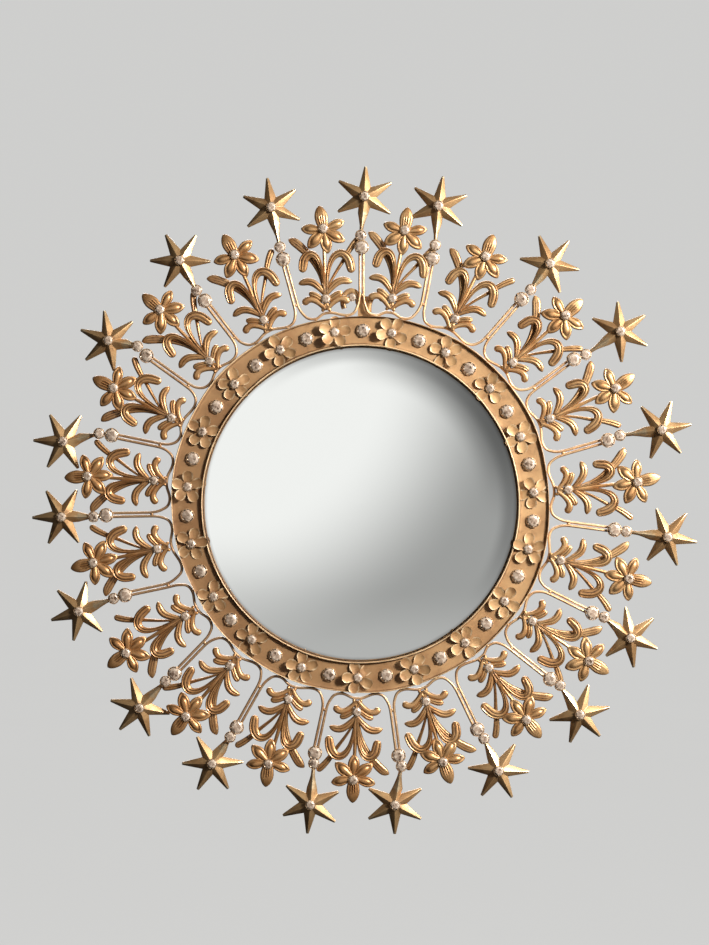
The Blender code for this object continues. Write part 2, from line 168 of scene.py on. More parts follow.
def rim_dent(degrees: np.ndarray | float) -> np.ndarray | float:
    """How far the outer rim is pushed in.

    Args:
        degrees: Angle clockwise from the top.

    Returns:
        The dent in millimetres.
    """
    total = 0.0
    for dent in RIM_DENTS:
        away = (degrees - dent.angle + 180) % 360 - 180
        total = total + dent.depth * np.exp(-((away / dent.spread) ** 2) / 2)
    return total


def along(rows: np.ndarray) -> np.ndarray:
    """Distance of each point along a line of points. Columns after the third aren't coordinates."""
    return np.r_[0, np.cumsum(np.linalg.norm(np.diff(rows[:, :3], axis=0), axis=1))]


def read(rows: np.ndarray, places: np.ndarray) -> np.ndarray:
    """Reads a line of points at distances along it."""
    return np.column_stack([np.interp(places, along(rows), column) for column in rows.T])


def smooth_path(knots: Sequence[Sequence[float]], shares: np.ndarray) -> np.ndarray:
    """Reads a smooth curve through a few knots.

    Args:
        knots: Rows of coordinates, and any further values that vary along the curve.
        shares: Places to read, as shares of the curve's length from 0 to 1.

    Returns:
        One row for each share.
    """
    rows = np.array(knots, float)
    padded = np.vstack([2 * rows[0] - rows[1], rows, 2 * rows[-1] - rows[-2]])
    fine = []
    for a, b, c, d in zip(padded, padded[1:], padded[2:], padded[3:]):
        t = np.linspace(0, 1, 16, endpoint=False)[:, None]
        bend = (2 * a - 5 * b + 4 * c - d) * t**2 / 2 + (3 * b - a - 3 * c + d) * t**3 / 2
        fine.append(b + (c - a) * t / 2 + bend)
    curve = np.vstack([*fine, rows[-1:]])
    return read(curve, shares * along(curve)[-1])


def hold(mesh: Mesh, name: str, values: Sequence[float], domain: str = "POINT") -> None:
    """Keeps a number for each point or face of a mesh."""
    mesh.attributes.new(name, "FLOAT", domain).data.foreach_set("value", np.array(values, np.float32))


def shaded(mesh: Mesh, below: float) -> Mesh:
    """Shades a mesh smooth, except at its sharp edges.

    Args:
        mesh: The mesh.
        below: Edges that bend less than this many degrees are smooth.

    Returns:
        The same mesh.
    """
    mesh.shade_smooth()
    mesh.set_sharp_from_angle(angle=math.radians(below))
    return mesh


def add_object(name: str, data: bpy.types.ID) -> bpy.types.Object:
    """Makes an object and links it to the scene.

    Args:
        name: Its name.
        data: Its mesh, curve, light or camera.

    Returns:
        The object.
    """
    made = bpy.data.objects.new(name, data)
    bpy.context.scene.collection.objects.link(made)
    return made


def plain_mesh(carrier: bpy.types.Object, name: str) -> Mesh:
    """Applies an object's modifiers and removes the object.

    Args:
        carrier: The object.
        name: The new mesh's name.

    Returns:
        Its finished mesh, with no modifier left.
    """
    mesh = bpy.data.meshes.new_from_object(carrier.evaluated_get(bpy.context.evaluated_depsgraph_get()))
    mesh.name = name
    bpy.data.objects.remove(carrier)
    return mesh


@dataclass
class Body:
    """A closed shape that is being made."""

    points: np.ndarray  # Rows of sideways, outward and depth towards the viewer, in millimetres
    faces: list[tuple[int, ...]]  # The points of each face
    dirt_and_shade: np.ndarray  # For each point, from -1 where the gilding is worn bright with a painted sheen, to 1 for soiling and painted shade deep in a groove

    @classmethod
    def lofted(cls, loops: np.ndarray, dirt_and_shade: Any, ring: bool = False) -> "Body":
        """Joins cross-sections that have the same number of points.

        Args:
            loops: Array of sections, points in each, and 3 coordinates.
            dirt_and_shade: Soiling with painted shade, and below 0 wear with a painted sheen, as values that
                broadcast to sections and points.
            ring: Whether the last section meets the first. If not, both ends are closed.

        Returns:
            The closed body.
        """
        sections, columns = loops.shape[:2]
        index = np.arange(sections * columns).reshape(sections, columns)
        ahead = np.roll(index, -1, axis=0)
        if not ring:
            index, ahead = index[:-1], ahead[:-1]
        quads = np.stack([index, np.roll(index, -1, axis=1), np.roll(ahead, -1, axis=1), ahead], axis=-1)
        faces = [tuple(quad) for quad in quads.reshape(-1, 4).tolist()]
        if not ring:
            faces += [tuple(range(columns))[::-1], tuple(range((sections - 1) * columns, sections * columns))]
        return cls(loops.reshape(-1, 3), faces, np.broadcast_to(dirt_and_shade, (sections, columns)).reshape(-1))

    @classmethod
    def joined(cls, bodies: Iterable["Body"]) -> "Body":
        """Puts several bodies in one, each still whole.

        Args:
            bodies: The bodies.

        Returns:
            One body.
        """
        points, faces, dirt_and_shade, count = [], [], [], 0
        for body in bodies:
            points.append(body.points)
            dirt_and_shade.append(body.dirt_and_shade)
            faces += [tuple(count + corner for corner in face) for face in body.faces]
            count += len(body.points)
        return cls(np.vstack(points), faces, np.concatenate(dirt_and_shade))

    def placed(self, degrees: float, side: float = 0.0, outward: float = 0.0, depth: float = 0.0) -> "Body":
        """Turns the body clockwise about its own origin, and then moves it.

        Args:
            degrees: The turn.
            side: Move sideways, in millimetres.
            outward: Move outward, in millimetres.
            depth: Move towards the viewer, in millimetres.

        Returns:
            A new body.
        """
        across, up = turned(self.points[:, 0], self.points[:, 1], math.radians(degrees))
        points = np.column_stack([across + side, up + outward, self.points[:, 2] + depth])
        return Body(points, self.faces, self.dirt_and_shade)

    def with_mirrored(self) -> list["Body"]:
        """This right-hand body and its left-hand one."""
        return [self, Body(self.points * (-1, 1, 1), [face[::-1] for face in self.faces], self.dirt_and_shade)]

    def mesh(self, name: str, smooth_below: float, *finish: Material) -> Mesh:
        """Makes the mesh, in metres, with its faces outward.

        Args:
            name: The mesh's name.
            smooth_below: Edges that bend less than this many degrees are shaded smooth.
            *finish: Its material, if it has one yet.

        Returns:
            The mesh.
        """
        mesh = bpy.data.meshes.new(name)
        metres = self.points[:, (0, 2, 1)] * (MM, -MM, MM)
        mesh.from_pydata(metres.tolist(), [], self.faces)
        hold(mesh, "dirt_and_shade", self.dirt_and_shade)
        tidy = bmesh.new()
        tidy.from_mesh(mesh)
        bmesh.ops.remove_doubles(tidy, verts=tidy.verts, dist=0.02 * MM)
        bmesh.ops.recalc_face_normals(tidy, faces=tidy.faces)
        tidy.to_mesh(mesh)
        tidy.free()
        for material in finish:
            mesh.materials.append(material)
        return shaded(mesh, smooth_below)


@dataclass(frozen=True)
class Leaf:
    """A cast leaf or petal that is drawn along its middle line."""

    line: Sequence[tuple[float, float, float, float]]  # Knots as sideways, outward, depth and width
    rise: float  # How far it swells towards the viewer
    grooves: tuple[float, ...] = ()  # Places of its lengthwise grooves across it, from -1 to 1
    cut: float = 0.3  # Depth of a groove, as a share of rise
    moat: float = 0.0  # Depth of a groove that follows its outline, as a share of rise
    flat: float = 2.6  # How flat its top is. 2 is round
    tip: Tip = Tip.BLUNT
    sections: int = 18
    columns: int = 13  # Points across its front
    groove: float = 0.1  # Width of a groove, as a share of half its width
    # How far out the groove that follows its outline lies, and its width, as shares
    moat_place: Pair = (0.58, 0.17)
    crest: Pair = (0.72, 0.16)  # The same for the edge that is worn bright, with a painted sheen
    behind: float = -0.22  # Depth of its flat back, as a share of rise
    behind_half: float = 0.6  # Half the width of its back, as a share of half its width

    def body(self) -> Body:
        """Lofts the leaf along its middle line.

        Returns:
            The body, closed at both ends.
        """
        even = np.linspace(0, 1, self.sections)
        # The sections stand closer together towards the tip
        path = smooth_path(self.line, 1 - (1 - even) ** 1.5)
        middle, width = path[:, :3], path[:, 3]
        steps = np.linalg.norm(np.diff(middle, axis=0), axis=1)
        length, power = self.tip.value
        # How far each section is from the very end, as a share of the tip's length
        near_end = np.clip(np.r_[np.cumsum(steps[::-1])[::-1], 0.0] / (width[-1] * length), 0, 1)
        # Its width there. The last section is small, but not a point
        narrowing = np.clip(1 - (1 - near_end) ** 2, 0.01, 1) ** power
        ahead = np.gradient(middle, axis=0)
        ahead /= np.linalg.norm(ahead, axis=1)[:, None]
        across = np.cross(ahead, (0, 0, 1))
        across /= np.linalg.norm(across, axis=1)[:, None]
        front = np.cross(across, ahead)
        height, dirt_and_shade = self._relief(even[:, None], near_end[:, None])
        back = np.full((self.sections, 2), self.behind)
        u = np.r_[self._across(), self.behind_half, -self.behind_half]
        half = (width * narrowing / 2)[:, None] * u
        lift = (self.rise * np.sqrt(narrowing))[:, None] * np.hstack([height, back])
        loops = middle[:, None] + across[:, None] * half[..., None] + front[:, None] * lift[..., None]
        # The flat back is darker: soiling and painted shade
        return Body.lofted(loops, np.clip(np.hstack([dirt_and_shade, back + 0.6]), -1, 1))

    def _across(self) -> np.ndarray:
        """Places of its columns, from -1 to 1."""
        return np.sin(np.linspace(-math.pi / 2, math.pi / 2, self.columns))

    def _relief(self, even: np.ndarray, near_end: np.ndarray) -> tuple[np.ndarray, np.ndarray]:
        """The relief of its front.

        Args:
            even: Share of its length at each section.
            near_end: 0 at its very end, and 1 before its end begins.

        Returns:
            Heights as shares of rise, and soiling with painted shade, below 0 where the crest has a painted
            sheen.
        """
        u = self._across()[None, :]
        # The grooves run out at both ends
        fade = near_end * np.clip(even * 6, 0, 1)
        carved = sum((hump(u, place, self.groove) for place in self.grooves), 0 * u) * fade
        inset = np.sqrt(u**2 + (1 - near_end) ** 2)
        dip = hump(inset, *self.moat_place) * np.clip(even * 5, 0, 1) * self.moat
        height = np.sqrt(np.clip(1 - np.abs(u) ** self.flat, 0, 1)) - self.cut * carved - dip
        # The crest is worn bright, with a painted sheen
        bright = np.clip(1 - carved * 2, 0, 1) * hump(np.abs(u), *self.crest)
        root = np.clip(1 - even * 5, 0, 1)
        # Soiling and painted shade in the grooves, along the sides and at the root, and a painted sheen on
        # the crest
        return height, 0.95 * carved + 0.9 * np.abs(u) ** 5 + 1.8 * dip - 0.5 * bright + 0.7 * root


class Net:
    """Adds nodes to a tree."""

    def __init__(self, tree: bpy.types.NodeTree) -> None:
        """Keeps the tree."""
        self.tree = tree

    def feed(self, socket: Socket, value: Any) -> None:
        """Links a socket, or sets it.

        Args:
            socket: The socket.
            value: A value or a link, or a plain number, colour or vector.
        """
        source = value.socket if isinstance(value, Value) else value
        if isinstance(source, Socket):
            self.tree.links.new(source, socket)
        else:
            socket.default_value = (*source, 1) if socket.type == "RGBA" else source

    def add(self, kind: str, sockets: dict[str | int, Any] | None = None, **settings: Any) -> Any:
        """Adds one node.

        Args:
            kind: The node's type.
            sockets: Values or links of its sockets, by name or number.
            **settings: Its properties, which are set first.

        Returns:
            The node.
        """
        node = self.tree.nodes.new(kind)
        for name, value in settings.items():
            setattr(node, name, value)
        for key, value in (sockets or {}).items():
            self.feed(node.inputs[key], value)
        return node


class Value:
    """A number that varies over a surface. Arithmetic on it adds Math nodes."""

    def __init__(self, net: Net, socket: Socket) -> None:
        """Wraps a socket of a tree."""
        self.net = net
        self.socket = socket

    def _math(self, operation: str, first: Any, second: Any) -> "Value":
        """Adds one Math node."""
        node = self.net.add("ShaderNodeMath", {0: first, 1: second}, operation=operation)
        return Value(self.net, node.outputs[0])

    def __add__(self, other: "Value | float") -> "Value":
        """The sum."""
        return self._math("ADD", self, other)

    __radd__ = __add__

    def __sub__(self, other: "Value | float") -> "Value":
        """The difference."""
        return self._math("SUBTRACT", self, other)

    def __rsub__(self, other: float) -> "Value":
        """The difference."""
        return self._math("SUBTRACT", other, self)

    def __mul__(self, other: "Value | float") -> "Value":
        """The product."""
        return self._math("MULTIPLY", self, other)

    __rmul__ = __mul__

    def __truediv__(self, other: "Value") -> "Value":
        """The quotient."""
        return self._math("DIVIDE", self, other)

    def __pow__(self, other: float) -> "Value":
        """The power."""
        return self._math("POWER", self, other)

    def at_least(self, low: float) -> "Value":
        """The value, or low where it is less."""
        return self._math("MAXIMUM", self, low)

    def length_with(self, other: "Value") -> "Value":
        """Length of the vector that the two make."""
        return (self * self + other * other) ** 0.5

    def between(self, low: float, high: float) -> "Value":
        """Goes smoothly from 0 to 1.

        Args:
            low: Where it leaves 0.
            high: Where it reaches 1.

        Returns:
            The new value.
        """
        ends = {"Value": self, "From Min": low, "From Max": high}
        node = self.net.add("ShaderNodeMapRange", ends, interpolation_type="SMOOTHSTEP")
        return Value(self.net, node.outputs["Result"])


class Surface(Net):
    """A material's nodes."""

    def __init__(self, name: str, shown: Colour) -> None:
        """Makes an empty material.

        Args:
            name: The material's name.
            shown: Its colour in the viewport.
        """
        self.material = bpy.data.materials.new(name)
        self.material.use_nodes = True
        self.material.diffuse_color = (*shown, 1)
        super().__init__(self.material.node_tree)
        self.place = self.add("ShaderNodeTexCoord").outputs["Object"]

    def noise(self, size_mm: float, detail: float = 2.0, rough: float = 0.5) -> Value:
        """Even noise from 0 to 1, from its patches' size, and the count and strength of finer layers."""
        sockets = {"Vector": self.place, "Scale": 1000 / size_mm, "Detail": detail, "Roughness": rough}
        return Value(self, self.add("ShaderNodeTexNoise", sockets).outputs[0])

    def lower_left(self, patches: Value, reach: float = 0.134) -> Value:
        """Goes from 0 at the mirror's right to 1 at its lower left.

        Args:
            patches: Noise that makes the change uneven.
            reach: Where it ends on both sides of the middle, in metres.

        Returns:
            A value from 0 to 1.
        """
        towards = {0: self.place, 1: (-0.92, 0, -0.4)}
        away = self.add("ShaderNodeVectorMath", towards, operation="DOT_PRODUCT").outputs["Value"]
        return (Value(self, away) * (0.5 / reach) + 0.25 + patches * 0.5).between(0.0, 1.0)

    def attribute(self, name: str) -> Value:
        """A number that the mesh holds."""
        return Value(self, self.add("ShaderNodeAttribute", attribute_name=name).outputs["Fac"])

    def mix(self, share: Value, first: Any, second: Any) -> Socket:
        """Mixes two colours or links, from 0 for the first to 1 for the second."""
        return self.add("ShaderNodeMix", {0: share, 6: first, 7: second}, data_type="RGBA").outputs[2]

    def bump(self, height: Value) -> Socket:
        """Turns a height in millimetres into a bumped normal."""
        return self.add("ShaderNodeBump", {"Height": height, "Strength": 1.0, "Distance": MM}).outputs[0]

    def finish(self, **sockets: Any) -> Material:
        """Feeds the shader's sockets.

        Args:
            **sockets: Values or links, with _ for a space in a socket's name.

        Returns:
            The material.
        """
        for name, value in sockets.items():
            self.feed(self.tree.nodes["Principled BSDF"].inputs[name.replace("_", " ")], value)
        return self.material


@dataclass(frozen=True)
class Gilt:
    """Aged gilding on cast or sheet metal."""

    name: str
    clean: Colour  # Colour of the gilding
    rosy: Colour  # Colour where it has worn to a copper tint
    wear_and_sheen_colour: Colour  # Colour of edges that are worn bright, with a painted sheen
    dirt_and_shade_colour: Colour  # Colour of the soiling and painted shade in its grooves and hollows
    roughness: float = 0.46
    patch: float = 14.0  # Size of the worn patches, in millimetres
    grain: float = 0.8  # Size of its fine unevenness, in millimetres
    relief: float = 0.02  # Depth of its fine unevenness, in millimetres
    wave: float = 9.0  # Size of its slow waves, in millimetres
    wave_depth: float = 0.12  # Depth of its slow waves, in millimetres
    tarnish: float = 0.3  # How much of the open surface has darkened, from 0 to 1
    lacquer: float = 0.5  # How much clear lacquer is left on it, from 0 to 1
    metal: float = 0.65  # How metallic the gilding still is, from 0 to 1
    fade: float = 0.0  # How much painted shade darkens it towards the mirror's lower left, from 0 to 1
    # Colour of that painted shade
    lower_left_shade_colour: Colour = (0.20, 0.085, 0.028)

    def material(self) -> Material:
        """Builds its nodes.

        Returns:
            The material.
        """
        surface = Surface(self.name, self.clean)
        patches = surface.noise(self.patch, 3, 0.6)
        flecks = surface.noise(self.patch / 6, 3, 0.65)
        grain = surface.noise(self.grain, 2, 0.6)
        wave = surface.noise(self.wave, 1, 0.5)
        dirt_and_shade = surface.attribute("dirt_and_shade")
        # The copper tint comes in patches, and flecks break up the edges of the worn sheen and of the soiling
        # with its painted shade
        worn = surface.mix(patches.between(0.42, 0.62), self.clean, self.rosy)
        # Painted shade towards the lower left, away from the lamps
        if self.fade:
            worn = surface.mix(surface.lower_left(patches) * self.fade, worn, self.lower_left_shade_colour)
        # Wear with a painted sheen where the attribute is below 0, and soiling with painted shade where it is
        # high
        wear_and_sheen = ((0 - dirt_and_shade) + (flecks - 0.5) * 0.8).between(0.1, 0.6)
        dirt_shade_mask = (dirt_and_shade + (flecks - 0.5) * 0.5).between(0.25, 0.95)
        tarnish = flecks.between(0.5, 0.72) * patches.between(0.38, 0.6) * self.tarnish
        return surface.finish(
            Base_Color=surface.mix(dirt_shade_mask * 0.88 + tarnish, surface.mix(wear_and_sheen, worn, self.wear_and_sheen_colour), self.dirt_and_shade_colour),
            Roughness=self.roughness + flecks.between(0.3, 0.75) * 0.12 + dirt_shade_mask * 0.14 - wear_and_sheen * 0.08,
            Metallic=self.metal - dirt_shade_mask * 0.3 + wear_and_sheen * 0.2,
            Coat_Weight=self.lacquer - dirt_shade_mask * self.lacquer * 0.8,
            Coat_Roughness=0.28,
            Normal=surface.bump((grain * 0.6 + flecks * 0.4) * self.relief + wave * self.wave_depth),
        )


@dataclass(frozen=True)
class SilveredGlass:
    """The silvered back of a mirror seen through its glass."""

    silver: Colour = (0.86, 0.875, 0.865)
    edge: Colour = (0.50, 0.50, 0.49)  # Colour near its edge, where the silver has dulled and the inner lip's painted shade falls
    radius: float = 110.6  # Radius of the glass, in millimetres

    def material(self) -> Material:
        """Builds its nodes.

        Returns:
            The material.
        """
        surface = Surface("silvered_glass_looks", self.silver)
        length = surface.add("ShaderNodeVectorMath", {0: surface.place}, operation="LENGTH")
        out = Value(surface, length.outputs["Value"]) * (1 / (self.radius * MM))
        # A darker band along the edge: dulled silver and painted shade beside the inner lip
        dull_and_shaded_edge = (out + (surface.noise(30.0, 3, 0.6) - 0.5) * 0.02).between(0.97, 1.0)
        colour = surface.mix(dull_and_shaded_edge, self.silver, self.edge)
        return surface.finish(Base_Color=colour, Roughness=0.0, Metallic=1.0)


@dataclass(frozen=True)
class ClearStone:
    """A clear glass stone with foil behind it. Each facet has its own level of painted light, set at random.
    """

    bright: Colour = (0.68, 0.56, 0.45)  # Painted colour of the facets that throw the light back
    metal_reflection_pink: Colour = (0.40, 0.29, 0.215)  # Painted reflection of the metal round the stone, on some facets
    dark: Colour = (0.12, 0.07, 0.04)  # Painted darkness of the facets that look through

    def material(self) -> Material:
        """Builds its nodes.

        Returns:
            The material.
        """
        surface = Surface("clear_stone", self.bright)
        # Painted light: each facet's brightness stands for what the stone throws back or lets through
        painted_facet_light = surface.attribute("painted_facet_light") + (surface.noise(5.0, 1) - 0.5) * 0.7
        colour = surface.mix(painted_facet_light.between(0.2, 0.65), self.bright, self.metal_reflection_pink)
        return surface.finish(
            Base_Color=surface.mix(painted_facet_light.between(0.85, 1.0), colour, self.dark),
            Roughness=0.26 + painted_facet_light.between(0.2, 0.9) * 0.1,
            Metallic=0.12,
            Coat_Weight=0.35,
            Coat_Roughness=0.1,
        )


def made_of(look: Gilt | SilveredGlass | ClearStone) -> Any:
    """A field that holds the look's material."""
    return field(default_factory=look.material)


@dataclass
class Finishes:
    """The materials, made once. A gilt's colours are the clean one, the rosy one, the worn one with a painted
    sheen, and the one of soiling with painted shade, in this order.
    """

    cast: Material = made_of(Gilt(
        "cast_gilt", (0.62, 0.37, 0.165), (0.49, 0.25, 0.095), (0.92, 0.73, 0.46), (0.05, 0.018, 0.006),
        roughness=0.42, grain=1.0, relief=0.06, metal=0.72, fade=0.6, lower_left_shade_colour=(0.46, 0.21, 0.068),
    ))
    star: Material = made_of(Gilt(
        "stamped_gilt", (0.63, 0.40, 0.19), (0.50, 0.285, 0.125), (0.92, 0.74, 0.48), (0.10, 0.045, 0.02),
        roughness=0.42, patch=22.0, grain=1.0, wave=14.0, metal=0.72,
    ))
    tray: Material = made_of(Gilt(
        "tray_gilt", (0.58, 0.35, 0.162), (0.48, 0.27, 0.118), (0.90, 0.68, 0.42), (0.08, 0.033, 0.012),
        roughness=0.58, patch=26.0, wave=16.0, wave_depth=0.15, lacquer=0.15, metal=0.15, fade=0.6,
    ))
    petal: Material = made_of(Gilt(
        "sheet_petal_gilt", (0.60, 0.36, 0.165), (0.48, 0.26, 0.11), (0.90, 0.69, 0.43), (0.10, 0.04, 0.015),
        roughness=0.52, patch=9.0, wave=6.0, wave_depth=0.4, lacquer=0.15, metal=0.25, fade=0.5,
    ))
    wire: Material = made_of(Gilt(
        "wire_gilt", (0.85, 0.58, 0.32), (0.74, 0.44, 0.22), (0.94, 0.76, 0.52), (0.12, 0.05, 0.02),
        roughness=0.42, patch=12.0, wave=4.0, wave_depth=0.06, tarnish=0.5, fade=0.7,
        lower_left_shade_colour=(0.40, 0.23, 0.12),
    ))
    claw: Material = made_of(Gilt(
        "claw_gilt", (0.60, 0.40, 0.23), (0.48, 0.29, 0.15), (0.85, 0.68, 0.50), (0.05, 0.022, 0.01),
        roughness=0.5, patch=4.0, relief=0.04, wave_depth=0.02, lacquer=0.1, metal=0.5,
    ))
    back: Material = made_of(Gilt(
        "dull_back_gilt", (0.66, 0.42, 0.19), (0.54, 0.31, 0.14), (0.80, 0.56, 0.31), (0.09, 0.04, 0.015),
        patch=30.0, grain=1.0, relief=0.04, wave=30.0, wave_depth=0.4, tarnish=0.5, lacquer=0.2,
    ))
    glass: Material = made_of(SilveredGlass())
    stone: Material = made_of(ClearStone())


def show(name: str, mesh: Mesh, *nodes: str, slot: Slot = Slot.AGED_GILT) -> None:
    """Adds a finished piece to the scene.

    Args:
        name: Its name.
        mesh: Its mesh, in place and with its material.
        *nodes: The solids that it stands for.
        slot: Not used.
    """
    piece = add_object(name, mesh)
    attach(piece, "root")
    if nodes:
        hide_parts(*nodes)
    LOG.info("%s: %d faces", name, len(mesh.polygons))


@dataclass(frozen=True)
class Seat:
    """Where a small shape sits, in millimetres, and its scale."""

    side: float
    outward: float
    depth: float  # Of its foot
    size: float
    turn: float = 0.0  # Degrees clockwise
    tilt: float = 0.0  # Degrees that its outer end stands up

    def metres(self) -> Vector:
        """Its place."""
        return Vector((self.side, -self.depth, self.outward)) * MM

    def euler(self) -> Triple:
        """Its turn, as angles about X, Y and Z."""
        return math.radians(self.tilt), math.radians(self.turn), 0.0

    def round_centre(self, degrees: float) -> "Seat":
        """The same seat in a frame that is turned clockwise about the mirror's centre."""
        side, outward = turned(self.side, self.outward, math.radians(degrees))
        return replace(self, side=side, outward=outward, turn=self.turn + degrees)


class Setting(NamedTuple):
    """How the stones of a row are set, in millimetres, and how many degrees each is turned on."""

    depth: float
    size: float
    spin: float = 0.0

    def seat(self, number: int, side: float, outward: float, between: float = 0.0) -> Seat:
        """Seat of the stone of a ray, which may stand between it and the next, turned into its place."""
        seat = Seat(side, outward, self.depth, self.size, self.spin * number)
        return seat.round_centre(ray(number + between))


class Tool(Net):
    """A geometry node tree with named inputs that makes a plain mesh."""

    def __init__(self, name: str, **inputs: tuple[str, Any]) -> None:
        """Makes the tree with its inputs.

        Args:
            name: The tree's name.
            **inputs: For each input, the kind of its socket and its default.
        """
        super().__init__(bpy.data.node_groups.new(name, "GeometryNodeTree"))
        for way in ("INPUT", "OUTPUT"):
            self.tree.interface.new_socket("Geometry", in_out=way, socket_type="NodeSocketGeometry")
        for label, (kind, default) in {**inputs, "Finish": ("Material", None)}.items():
            socket = self.tree.interface.new_socket(label, in_out="INPUT", socket_type=f"NodeSocket{kind}")
            if default is not None:
                socket.default_value = default
        self.source = self.add("NodeGroupInput").outputs

    def close(self, geometry: Socket) -> None:
        """Ends the tree in real geometry with its material.

        Args:
            geometry: What the tree has made.
        """
        real = self.add("GeometryNodeRealizeInstances", {0: geometry}).outputs[0]
        finish = {"Geometry": real, "Material": self.source["Finish"]}
        self.add("NodeGroupOutput", {0: self.add("GeometryNodeSetMaterial", finish).outputs[0]})

    def run(self, name: str, data: bpy.types.ID, **inputs: Any) -> Mesh:
        """Runs the tree on a mesh or curve.

        Args:
            name: The new mesh's name.
            data: The mesh or curve that it starts from.
            **inputs: Values of the named inputs.

        Returns:
            The finished mesh.
        """
        carrier = add_object(name, data)
        modifier = carrier.modifiers.new("Tool", "NODES")
        modifier.node_group = self.tree
        for item in self.tree.interface.items_tree:
            if item.in_out == "INPUT" and item.name in inputs:
                modifier[item.identifier] = inputs[item.name]
        bpy.context.view_layer.update()
        return plain_mesh(carrier, name)


class WireBender(Tool):
    """Draws a round wire along a curve."""

    def __init__(self) -> None:
        """Builds the tree."""
        sizes = {"Radius": ("Float", 0.8 * MM), "Sides": ("Int", 10), "Spacing": ("Float", 1.2 * MM)}
        super().__init__("wire_along_a_path", **sizes)
        spacing = {"Curve": self.source["Geometry"], "Length": self.source["Spacing"]}
        spaced = self.add("GeometryNodeResampleCurve", spacing, mode="LENGTH").outputs[0]
        section = {"Resolution": self.source["Sides"], "Radius": self.source["Radius"]}
        ring = self.add("GeometryNodeCurvePrimitiveCircle", section).outputs[0]
        tube = {"Curve": spaced, "Profile Curve": ring, "Fill Caps": True}
        self.close(self.add("GeometryNodeCurveToMesh", tube).outputs[0])

    def bend(self, name: str, route: np.ndarray, radius: float, finish: Material) -> Mesh:
        """Makes one wire.

        Args:
            name: The mesh's name.
            route: Its middle line as sideways, outward and depth, in millimetres.
            radius: Its radius, in millimetres.
            finish: Its material.

        Returns:
            The wire's mesh.
        """
        curve = bpy.data.curves.new(name, "CURVE")
        curve.dimensions = "3D"
        spline = curve.splines.new("POLY")
        spline.points.add(len(route) - 1)
        for knot, (side, outward, depth) in zip(spline.points, route):
            knot.co = (side * MM, -depth * MM, outward * MM, 1)
        return self.run(name, curve, Radius=radius * MM, Finish=finish)


class Setter(Tool):
    """Sets copies of one small shape on points, each with its own turn and size."""

    def __init__(self) -> None:
        """Builds the tree."""
        super().__init__("copies_on_points", Shape=("Object", None), Wobble=("Float", 0.0), Seed=("Int", 7))
        shape = self.add("GeometryNodeObjectInfo", {"Object": self.source["Shape"], "As Instance": True})
        turn, size = (
            self.add("GeometryNodeInputNamedAttribute", {"Name": name}, data_type=kind).outputs[0]
            for name, kind in (("turn", "FLOAT_VECTOR"), ("size", "FLOAT"))
        )
        ends = {0: (-1, -1, -1), 1: (1, 1, 1), "Seed": self.source["Seed"]}
        chance = self.add("FunctionNodeRandomValue", ends, data_type="FLOAT_VECTOR").outputs[0]
        shaking = {0: chance, "Scale": self.source["Wobble"]}
        shaken = self.add("ShaderNodeVectorMath", shaking, operation="SCALE").outputs[0]
        total = self.add("ShaderNodeVectorMath", {0: turn, 1: shaken}, operation="ADD").outputs[0]
        copies = {"Points": self.source["Geometry"], "Instance": shape.outputs["Geometry"]}
        copies |= {"Rotation": total, "Scale": size}
        self.close(self.add("GeometryNodeInstanceOnPoints", copies).outputs[0])

    def set(
        self, name: str, seats: Sequence[Seat], shape: Mesh, finish: Material,
        wobble: float = 0.0, slot: Slot = Slot.AGED_GILT,
    ) -> None:
        """Sets the copies and shows them as one piece.

        Args:
            name: The piece's name.
            seats: Where they sit.
            shape: The shape, in metres, with its foot at its origin.
            finish: Its material.
            wobble: How far each may be turned by chance, in radians.
            slot: The record's slot.
        """
        points = bpy.data.meshes.new(name)
        points.from_pydata([seat.metres() for seat in seats], [], [])
        turns = points.attributes.new("turn", "FLOAT_VECTOR", "POINT")
        turns.data.foreach_set("vector", [value for seat in seats for value in seat.euler()])
        hold(points, "size", [seat.size for seat in seats])
        pattern = bpy.data.objects.new(f"{name}_pattern", shape)
        made = self.run(name, points, Shape=pattern, Wobble=wobble, Finish=finish)
        bpy.data.objects.remove(pattern)
        show(name, made, slot=slot)


@dataclass
class Workshop:
    """The materials and the tools."""

    finishes: Finishes = field(default_factory=Finishes)
    setter: Setter = field(default_factory=Setter)
    bender: WireBender = field(default_factory=WireBender)


